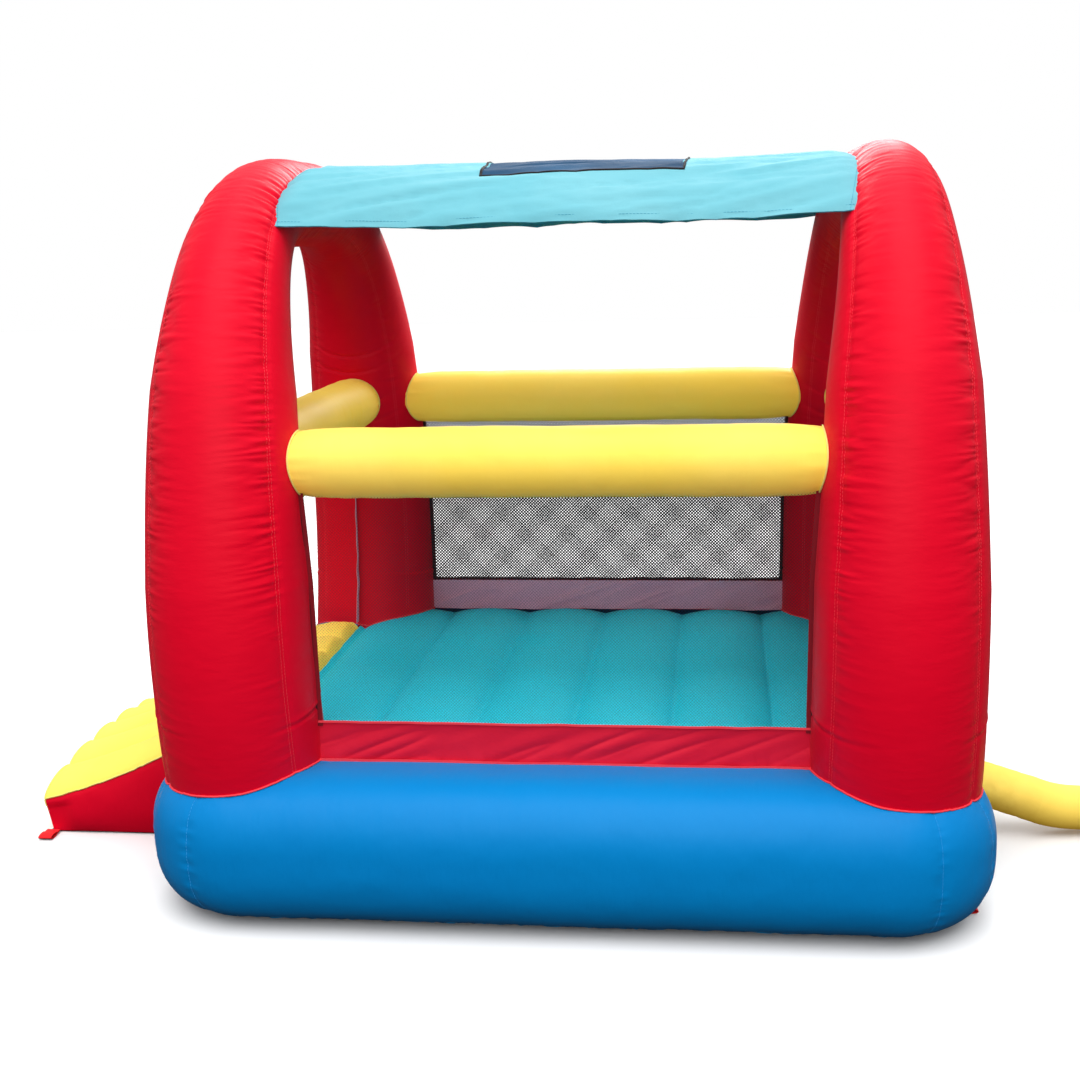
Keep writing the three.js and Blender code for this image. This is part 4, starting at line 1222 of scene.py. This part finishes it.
def canopyGrid(settings):
    fine = np.linspace(settings["hemAngle"], 180 - settings["hemAngle"], 600)
    fineY, fineZ, _ = canopyLine(fine)
    run = np.concatenate([[0], np.cumsum(np.hypot(np.diff(fineY), np.diff(fineZ)))])
    along = np.linspace(0, run[-1], settings["rows"])
    angle = np.interp(along, run, fine)
    y, z, reach = canopyLine(angle)
    share = np.linspace(-1, 1, settings["columns"])
    x = share[None, :] * reach[:, None]
    along = along[:, None]
    grid = stacked(x, y[:, None], z[:, None])
    normal = gridNormals(grid)
    normal *= np.sign(normal[..., 2:].sum())
    held = np.clip(1 - np.abs(share[None, :]) ** 6, 0, 1)
    slanted = along - settings["slope"] * x * np.where(along < run[-1] / 2, 1, -1) + 0.03 * np.sin(3 * x)
    folds = creases(stacked(slanted / 0.085, x / 0.8), 51)
    folds = folds + 0.55 * creases(stacked(slanted / 0.036, x / 0.45), 52)
    small = creases(stacked((along + 0.2 * x) / 0.030, x / 0.11), 53)
    rumpled = np.exp(-((x - 0.10) / 0.28) ** 2) * np.exp(-((along - 0.16) / 0.12) ** 2)
    relief = settings["fold"] * folds * (0.35 + 0.65 * held) + (0.0016 + 0.004 * rumpled) * small
    for startX, startRun, endX, endRun, depth in settings["pulls"]:
        part = np.clip((x - startX) / (endX - startX), 0, 1)
        middleRun = startRun + (endRun - startRun) * part + 0.02 * np.sin(np.pi * part)
        beyond = np.abs((along - middleRun) / 0.016)
        fading = np.clip((x - startX + 0.05) / (endX - startX + 0.1), 0, 1)
        relief -= depth * np.exp(-beyond ** 1.2) * np.sin(np.pi * fading) ** 0.5
    relief -= settings["sag"] * held * np.sin(np.pi * along / run[-1]) ** 2
    crest = np.maximum(0, np.sin(np.pi * along / run[-1])) ** 0.7
    rolled = np.clip((np.abs(x) - 0.86) / 0.10, 0, 1) ** 1.5 * np.where(x < 0, 1.0, 0.35)
    relief = relief - 0.09 * crest * rolled
    hemDrop = 0.010 * held * (np.exp(-along / 0.05) + np.exp(-(run[-1] - along) / 0.05))
    grid = grid + normal * relief[..., None]
    grid[..., 2] -= hemDrop
    return grid, stacked(x, along), normal, run[-1]


def makeCanopy(settings):
    grid, cutMap, normal, length = canopyGrid(settings)
    left, right, front, back = settings["hole"]
    middleX, middleY = np.moveaxis((grid[:-1, :-1] + grid[1:, 1:])[..., :2] / 2, -1, 0)
    inHole = (middleX > left) & (middleX < right) & (middleY > front) & (middleY < back)
    canopy = sheetPiece("canopy_cloth", grid, cutMap, [canopyCloth], 0.0014, (0, 0, 1), keep=~inHole)
    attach(canopy, "house")
    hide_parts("canopy")
    rowsIn = np.where(inHole.any(1))[0]
    columnsIn = np.where(inHole.any(0))[0]
    rowFirst, rowLast = rowsIn[0], rowsIn[-1] + 1
    columnFirst, columnLast = columnsIn[0], columnsIn[-1] + 1
    patch = grid[rowFirst:rowLast + 1, columnFirst:columnLast + 1] - 0.002 * normal[rowFirst:rowLast + 1,
                                                                                   columnFirst:columnLast + 1]
    skylight = sheetPiece("skylight_cloth", patch, cutMap[rowFirst:rowLast + 1, columnFirst:columnLast + 1],
                          [navyCloth], 0.001, (0, 0, 1))
    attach(skylight, "house")
    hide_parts("skylight_net")
    border = np.concatenate([patch[0], patch[1:, -1], patch[-1, ::-1][1:], patch[::-1, 0][1:-1]])
    piping("skylight_binding", [(border + [0, 0, 0.003], True)], 0.0045, blackBinding)
    hems = []
    for name, row in (("front", 0), ("rear", -1)):
        inward = grid[3] - grid[0] if row == 0 else grid[-4] - grid[-1]
        inward = inward / np.linalg.norm(inward, axis=-1, keepdims=True)
        edge = grid[row]
        rowsIn = (0, 1, 2) if row == 0 else (-1, -2, -3)
        tape = np.stack([grid[number] - 0.0026 * normal[number] for number in rowsIn], 1)
        hemMap = stacked(cutMap[row, :, 0][:, None], np.linspace(0, 0.03, 3)[None, :])
        hem = sheetPiece(f"canopy_{name}_hem", tape, hemMap, [canopyHem], 0.0026, (0, 0, -1))
        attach(hem, "house")
        hems.append((edge + inward * 0.022 + 0.0012 * normal[row], False))
    sides = [(grid[:, column] + 0.001 * normal[:, column], False) for column in (2, -3)]
    stitches("canopy_stitches", hems + sides, canopyHem)


makeCanopy(canopySettings)
print("canopy made")


# slide

slideSettings = {
    "near": -0.490, "far": 0.620, "channels": 5, "lobe": 0.026, "crown": 0.062, "crownStart": -1.105,
    "crownRun": 0.300, "groundZ": 0.006, "stepX": 0.009, "columns": 180, "noseLean": 0.024,
    "edge": ((-1.036, 0.487), (-1.110, 0.498), (-1.235, 0.452), (-1.400, 0.357), (-1.600, 0.257),
             (-1.800, 0.179), (-1.970, 0.127)),
}


def splinePoints(knots, count):
    # an even spline through the knots
    knots = np.asarray(knots, float)
    spot = np.linspace(0, len(knots) - 1, count)
    index = np.minimum(spot.astype(int), len(knots) - 2)
    part = (spot - index)[:, None]
    before, here = knots[np.maximum(index - 1, 0)], knots[index]
    there, after = knots[index + 1], knots[np.minimum(index + 2, len(knots) - 1)]
    slopeHere, slopeThere = (there - before) / 2, (after - here) / 2
    return ((2 * here - 2 * there + slopeHere + slopeThere) * part ** 3
            + (-3 * here + 3 * there - 2 * slopeHere - slopeThere) * part ** 2 + slopeHere * part + here)


def rampHeight(settings, x, edgeZ, y):
    across = (2 * (y - settings["near"])) / (settings["far"] - settings["near"]) - 1
    towardsLip = np.clip((settings["crownStart"] - x) / settings["crownRun"], 0, 1)
    crown = settings["crown"] * towardsLip * np.maximum(0, 1 - across ** 2) ** 0.8
    width = (settings["far"] - settings["near"]) / settings["channels"]
    lobe = np.sqrt(np.abs(np.sin(np.pi * (y - settings["near"]) / width)))
    return np.maximum(edgeZ + crown + settings["lobe"] * lobe, baseTopAt(x, 0.0) + 0.018)


def makeSlide(settings):
    edge = splinePoints(settings["edge"], 110)
    y = np.linspace(settings["near"], settings["far"], settings["columns"])[None, :]
    x, edgeZ = edge[:, :1], edge[:, 1:]
    z = rampHeight(settings, x, edgeZ, y)
    width = (settings["far"] - settings["near"]) / settings["channels"]
    fromValley = np.abs(((y - settings["near"]) / width + 0.5) % 1 - 0.5) * width
    z = z + 0.0024 * np.exp(-(fromValley / 0.03) ** 2) * creases(stacked(x / 0.028, y / 0.09), 61)
    z = z + 0.0022 * softNoise(stacked(x / 0.15, y / 0.12), 62)
    z = z - np.clip((x + 1.070) / 0.034, 0, 1) ** 2 * (z - 0.462)
    down = np.concatenate([[0], np.cumsum(np.hypot(*np.diff(edge, axis=0).T))])[:, None]
    grid = stacked(x, y, z)
    top = skinPiece("slide_top_skin", grid, stacked(down, y), yellowCloth, (-0.5, 0, 1))
    blownPiece(top, "slide_top")
    edges = []
    for name, column, sign in (("front", 0, -1), ("rear", -1, 1)):
        start = int(np.argmax(edge[:, 0] < -1.16))
        topLine = grid[start:, column]
        share = np.linspace(0, 1, 46)[None, :]
        run = topLine[:, :1]
        toLip = np.clip((run + 1.97) / 0.10, 0, 1)
        lean = settings["noseLean"] * (1 - toLip) ** 1.5 * share
        bulge = 0.016 * np.sin(np.pi * share) ** 0.8 * (0.3 + 0.7 * toLip)
        height = topLine[:, 2:] - 0.003
        zWall = settings["groundZ"] + (height - settings["groundZ"]) * (1 - share)
        pucker = 0.0030 * np.exp(-share / 0.18) * creases(stacked(run / 0.020, share * height / 0.12), 63)
        pucker = pucker + 0.0020 * softNoise(stacked(run / 0.12, share * 2.5), 64)
        # flat where a loop folds up
        byLoop = np.exp(-((run + 1.945) / 0.07) ** 4) * np.clip((share - 0.12) / 0.18, 0, 1)
        out = topLine[0, 1] + sign * (1 - byLoop) * (bulge + pucker * np.clip(share * 12, 0, 1))
        wallGrid = stacked(run + lean, out, zWall)
        wallMap = stacked(run, share * height)
        wall = skinPiece(f"slide_side_{name}_skin", wallGrid, wallMap, redCloth, (0, sign, 0))
        blownPiece(wall, f"slide_side_{name}")
        edges.append((grid[:, column] + [0, sign * 0.001, 0.001], False))
    lipLine = grid[-1]
    share = np.linspace(0, 1, 26)[:, None]
    height = lipLine[None, :, 2] - 0.003
    zEnd = settings["groundZ"] + (height - settings["groundZ"]) * (1 - share)
    fromSide = np.minimum(lipLine[:, 1] - settings["near"], settings["far"] - lipLine[:, 1])
    sides = np.clip(fromSide / 0.04, 0, 1)[None, :]
    out = lipLine[0, 0] + settings["noseLean"] * share - 0.014 * np.sin(np.pi * share) ** 0.8 * sides
    gathers = creases(stacked(share * height / 0.10, lipLine[None, :, 1] / 0.024), 65)
    out = out + 0.0024 * gathers * np.exp(-share / 0.3) * np.clip(share * 10, 0, 1)
    endGrid = stacked(out, lipLine[None, :, 1], zEnd)
    endMap = stacked(lipLine[None, :, 1], share * height)
    endPiece = skinPiece("slide_end_skin", endGrid, endMap, yellowCloth, (-1, 0, 0))
    blownPiece(endPiece, "slide_end")
    edges.append((lipLine + [-0.001, 0, 0.001], False))
    for y0 in (settings["near"], settings["far"]):
        drop = np.linspace(0, 0.2, 8)
        lipZ = edge[-1, 1] - 0.003
        edges.append((stacked(-1.971 + settings["noseLean"] * drop, np.full(8, y0),
                              lipZ + (settings["groundZ"] - lipZ) * drop), False))
    piping("slide_edge_welts", edges, 0.0030, yellowThread)
    x = np.linspace(-1.960, -1.155, 80)[:, None]
    y = np.linspace(settings["near"] + 0.004, settings["far"] - 0.004, 100)[None, :]
    underGrid = stacked(x, y, 0.0035 + 0.0008 * softNoise(stacked(x / 0.1, y / 0.1), 66))
    under = sheetPiece("slide_underside_sheet", underGrid, stacked(x, y), [blackSheet], 0.0022, (0, 0, -1))
    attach(under, "house")
    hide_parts("slide_underside")


makeSlide(slideSettings)
print("slide made")


# ground sheet

groundSheetSettings = {
    "halfX": 1.150, "halfY": 1.095, "corner": 0.150, "height": 0.0025, "unevenness": 0.0006,
    "around": 240, "rings": 34, "smallestRing": 0.02,
}


def makeGroundSheet(settings):
    turns = np.linspace(0, 2 * np.pi, settings["around"] + 1)[:-1]
    rings = []
    for share in np.linspace(1, settings["smallestRing"], settings["rings"]):
        halfX, halfY, corner = (settings[key] * share for key in ("halfX", "halfY", "corner"))
        cos, sin = np.cos(turns), np.sin(turns)
        x = np.clip(1.6 * cos, -1, 1) * (halfX - corner) + corner * cos
        y = np.clip(1.6 * sin, -1, 1) * (halfY - corner) + corner * sin
        uneven = softNoise(stacked(x / 0.15, y / 0.15), 71)
        rings.append(stacked(x, y, settings["height"] + settings["unevenness"] * uneven))
    grid = np.array(rings)
    grid = np.concatenate([grid, grid[:, :1]], 1)
    piece = sheetPiece("ground_sheet_cloth", grid, grid[..., :2], [blackSheet], 0.002, (0, 0, -1))
    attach(piece, "house")
    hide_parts("ground_sheet")


makeGroundSheet(groundSheetSettings)


# blower sleeve, strap and buckle

sleeveSettings = {
    "radius": 0.078, "around": 72, "blendFrom": (1.360, -0.297, 0.200), "blendTo": (1.540, -0.297, 0.152),
    "line": ((1.240, -0.297, 0.232), (1.300, -0.297, 0.216), (1.450, -0.297, 0.176), (1.560, -0.289, 0.138),
             (1.680, -0.274, 0.098), (1.860, -0.257, 0.084), (2.010, -0.257, 0.084), (2.160, -0.257, 0.084)),
    "strapX": 2.110, "strapWidth": 0.025,
}


def makeSleeve(settings):
    line = splinePoints(settings["line"], 190)
    direction = np.gradient(line, axis=0)
    direction /= np.linalg.norm(direction, axis=1, keepdims=True)
    direction[-8:] = (1, 0, 0)
    side = np.cross(direction, (0, 0, -1))
    side /= np.linalg.norm(side, axis=1, keepdims=True)
    up = np.cross(side, direction)
    length = np.concatenate([[0], np.cumsum(np.linalg.norm(np.diff(line, axis=0), axis=1))])[:, None]
    turned = (np.arange(settings["around"]) * 2 * np.pi / settings["around"])[None, :]
    fromStrap = np.abs(line[:, :1] - settings["strapX"])
    relief = 0.0012 * softNoise(stacked(length / 0.12, turned * 1.1), 81)
    atBend = np.clip(1.3 - np.abs(length - 0.26) / 0.14, 0.15, 1)
    relief = relief + 0.0022 * atBend * creases(stacked(length / 0.032, turned * 1.3), 82)
    cinched = creases(stacked(length / 0.3, turned * 5.2), 83)
    relief = relief + 0.0022 * np.exp(-(fromStrap / 0.05) ** 2) * cinched
    relief = relief - 0.0022 * np.exp(-(fromStrap / 0.018) ** 4)
    relief = np.where(line[:, :1] > 2.150, 0.0004, relief)
    radius = settings["radius"] - 0.0006 + relief
    grid = (line[:, None, :] + side[:, None, :] * (radius * np.cos(turned))[..., None]
            + up[:, None, :] * (radius * np.sin(turned))[..., None])
    closing = np.arange(settings["around"] + 1) * 2 * np.pi / settings["around"] * settings["radius"]
    faces, loops = gridFaces(190, settings["around"], True, stacked(length, closing[None, :]))
    points = grid.reshape(-1, 3)
    faces, loops = turnedOutward(points, faces, loops, line[faces[:, 0] // settings["around"]])
    sleeve = addObject("blower_sleeve_skin", points, faces.tolist(), loops.reshape(-1, 2), [yellowCloth])
    wall = sleeve.modifiers.new("thickness", "SOLIDIFY")
    wall.thickness = 0.0022
    wall.offset = -1
    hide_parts("blower_sleeve", "sleeve_root")
    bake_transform(sleeve)
    hem = [(grid[-row] + 0.0008 * (grid[-row] - line[-row]) / 0.078, True) for row in (8, 10)]
    mouth = [(grid[-1] - [0.003, 0, 0], True)]
    piping("sleeve_mouth_welt", mouth, 0.0028, yellowThread, body="sleeve")
    stitches("sleeve_hem_stitches", hem, yellowThread, body="sleeve")
    ringTurn = (np.arange(97) * 2 * np.pi / 96)
    across = np.linspace(-0.5, 0.5, 9)
    bow = 0.0006 * np.cos(np.pi * across)
    ringRadius = settings["radius"] + 0.0022 + bow
    centreY, centreZ = settings["line"][-1][1:]
    strapGrid = stacked(settings["strapX"] + settings["strapWidth"] * across[None, :],
                        centreY + ringRadius[None, :] * np.cos(ringTurn)[:, None],
                        centreZ + ringRadius[None, :] * np.sin(ringTurn)[:, None])
    strapMap = stacked(ringTurn[:, None] * 0.08, settings["strapWidth"] * across[None, :])
    faces, loops = gridFaces(97, 9, False, strapMap)
    faces = faces % (96 * 9)
    points = strapGrid[:-1].reshape(-1, 3)
    faces, loops = turnedOutward(points, faces, loops, [settings["strapX"], centreY, centreZ])
    strap = addObject("sleeve_strap_webbing", points, faces.tolist(), loops.reshape(-1, 2), [blackWebbing])
    thick = strap.modifiers.new("thickness", "SOLIDIFY")
    thick.thickness = 0.0018
    thick.offset = 0
    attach(strap, "sleeve")
    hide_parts("sleeve_strap")


makeSleeve(sleeveSettings)

buckleSettings = {
    "halfX": 0.016, "halfY": 0.020, "height": 0.004, "slotX": 0.0125, "slotNear": 0.004, "slotFar": 0.014,
}


def makeBuckle(settings):
    # a ladder buckle: five bars joined at their ends, rounded all over
    low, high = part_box("strap_buckle")
    middle = (low + high) / 2
    xs = (-settings["halfX"], -settings["slotX"], settings["slotX"], settings["halfX"])
    ys = (-settings["halfY"], -settings["slotFar"], -settings["slotNear"],
          settings["slotNear"], settings["slotFar"], settings["halfY"])
    zs = (-settings["height"] / 2, settings["height"] / 2)
    points = np.array([(middle.x + x, middle.y + y, middle.z + z) for z in zs for x in xs for y in ys])
    at = lambda layer, i, j: layer * 24 + i * 6 + j
    faces = []
    filled = {(i, j) for i in range(3) for j in range(5)} - {(1, 1), (1, 3)}
    for i, j in filled:
        faces.append([at(1, i, j), at(1, i + 1, j), at(1, i + 1, j + 1), at(1, i, j + 1)])
        faces.append([at(0, i, j), at(0, i, j + 1), at(0, i + 1, j + 1), at(0, i + 1, j)])
        for di, dj, a, b in ((-1, 0, (i, j + 1), (i, j)), (1, 0, (i + 1, j), (i + 1, j + 1)),
                             (0, -1, (i, j), (i + 1, j)), (0, 1, (i + 1, j + 1), (i, j + 1))):
            if (i + di, j + dj) not in filled:
                faces.append([at(0, *a), at(0, *b), at(1, *b), at(1, *a)])
    cutMap = np.zeros((sum(len(face) for face in faces), 2))
    buckle = addObject("strap_ladder_buckle", points, faces, cutMap, [blackPlastic])
    bevel = buckle.modifiers.new("rounded edges", "BEVEL")
    bevel.width = 0.0011
    bevel.segments = 3
    bevel.limit_method = "ANGLE"
    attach(buckle, "sleeve")
    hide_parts("strap_buckle")


makeBuckle(buckleSettings)
print("sleeve, strap and buckle made")


# anchor loops

loopSettings = {
    "width": 0.050, "length": 0.078, "eyeStart": 0.024, "height": 0.017, "middle": 0.009, "tape": 0.0019,
    "places": (
        ("base_right_front", (1.225, -0.915), (1, 0)), ("base_right_rear", (1.225, 0.915), (1, 0)),
        ("base_left_front", (-1.225, -0.915), (-1, 0)), ("base_left_rear", (-1.225, 0.915), (-1, 0)),
        ("slide_front", (-1.945, -0.4935), (0, -1)), ("slide_rear", (-1.945, 0.6235), (0, 1)),
    ),
}


def makeLoops(settings):
    halfEye = (settings["length"] - settings["eyeStart"]) / 2 - settings["tape"] / 2
    eyeAt = (settings["length"] + settings["eyeStart"]) / 2
    halfHigh = settings["height"] / 2 - settings["tape"] / 2
    turn = np.radians(np.linspace(-168, 168, 40))
    eye = stacked(eyeAt + halfEye * np.cos(turn), halfHigh * np.sin(turn))
    lead = np.linspace(0, 1, 8)[:-1, None]
    lower = np.array([[0.0005, -0.0014]]) * (1 - lead) + eye[:1] * lead
    upper = eye[-1:] * (1 - lead[1:]) + np.array([[0.0005, 0.0014]]) * lead[1:]
    profile = np.concatenate([lower, eye, upper, [[0.0005, 0.0014]]])
    length = np.concatenate([[0], np.cumsum(np.hypot(*np.diff(profile, axis=0).T))])
    across = np.linspace(-0.5, 0.5, 12) * settings["width"]
    for seed, (name, root, outward) in enumerate(settings["places"]):
        out, side = np.array([*outward, 0.0]), np.array([-outward[1], outward[0], 0.0])
        crease = 0.0008 * softNoise(stacked(length[:, None] / 0.02, across[None, :] / 0.03, seed + 0.5), 91)
        reach = profile[:, 0][:, None]
        high = profile[:, 1][:, None] + crease * np.clip(reach / 0.03, 0, 1)
        grid = (np.array([*root, settings["middle"]]) + reach[..., None] * out + across[None, :, None] * side
                + high[..., None] * np.array([0, 0, 1.0]))
        cutMap = stacked(length[:, None], across[None, :])
        loop = sheetPiece(f"anchor_loop_{name}_webbing", grid, cutMap, [redWebbing], settings["tape"],
                          (0, 0, 1))
        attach(loop, f"loop_{name}")
        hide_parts(f"anchor_loop_{name}")
        box = []
        for reachAt in (0.006, 0.020):
            row = np.array([*root, 0.0]) + reachAt * out + np.array([-0.021, 0.021])[:, None] * side
            row[:, 2] = settings["middle"] + 0.0035 + 0.08 * max(reachAt - 0.012, 0)
            box.append((row, False))
        sewn = stitches(f"loop_{name}_stitches", box, redThread, spacing=0.004, length=0.003,
                        body=f"loop_{name}")


makeLoops(loopSettings)
print("anchor loops made")


# inner webs keep their shape and get their own cloth

for nodeName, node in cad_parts.items():
    if "_web_" in nodeName:
        node.data.materials.clear()
        node.data.materials.append(greyCloth)


# stage

def makeStage():
    # a pale floor that gives little light back, as turf does
    material = bpy.data.materials.new("pale_studio_floor")
    material.use_nodes = True
    nodes, links = material.node_tree.nodes, material.node_tree.links
    nodes.clear()
    kind = nodes.new("ShaderNodeLightPath")
    kind.label = "seen or lighting"
    dim = nodes.new("ShaderNodeBsdfDiffuse")
    dim.label = "what it gives back"
    pale = nodes.new("ShaderNodeBsdfDiffuse")
    pale.label = "pale floor"
    choice = nodes.new("ShaderNodeMixShader")
    choice.label = "floor"
    output = nodes.new("ShaderNodeOutputMaterial")
    output.label = "surface"
    for count, node in enumerate((kind, dim, pale, choice, output)):
        node.location = (220 * count, 0)
    dim.inputs["Color"].default_value = (0.05, 0.05, 0.05, 1)
    pale.inputs["Color"].default_value = (0.95, 0.95, 0.95, 1)
    links.new(kind.outputs["Is Camera Ray"], choice.inputs["Fac"])
    links.new(dim.outputs["BSDF"], choice.inputs[1])
    links.new(pale.outputs["BSDF"], choice.inputs[2])
    links.new(choice.outputs["Shader"], output.inputs["Surface"])
    mesh = bpy.data.meshes.new("studio_floor")
    half, level = 30, -0.001
    corners = [(x, y, level) for x, y in ((-half, -half), (half, -half), (half, half), (-half, half))]
    mesh.from_pydata(corners, [], [(0, 1, 2, 3)])
    mesh.materials.append(material)
    ground = bpy.data.objects.new("studio_floor", mesh)
    scene.collection.objects.link(ground)


makeStage()

print("done")
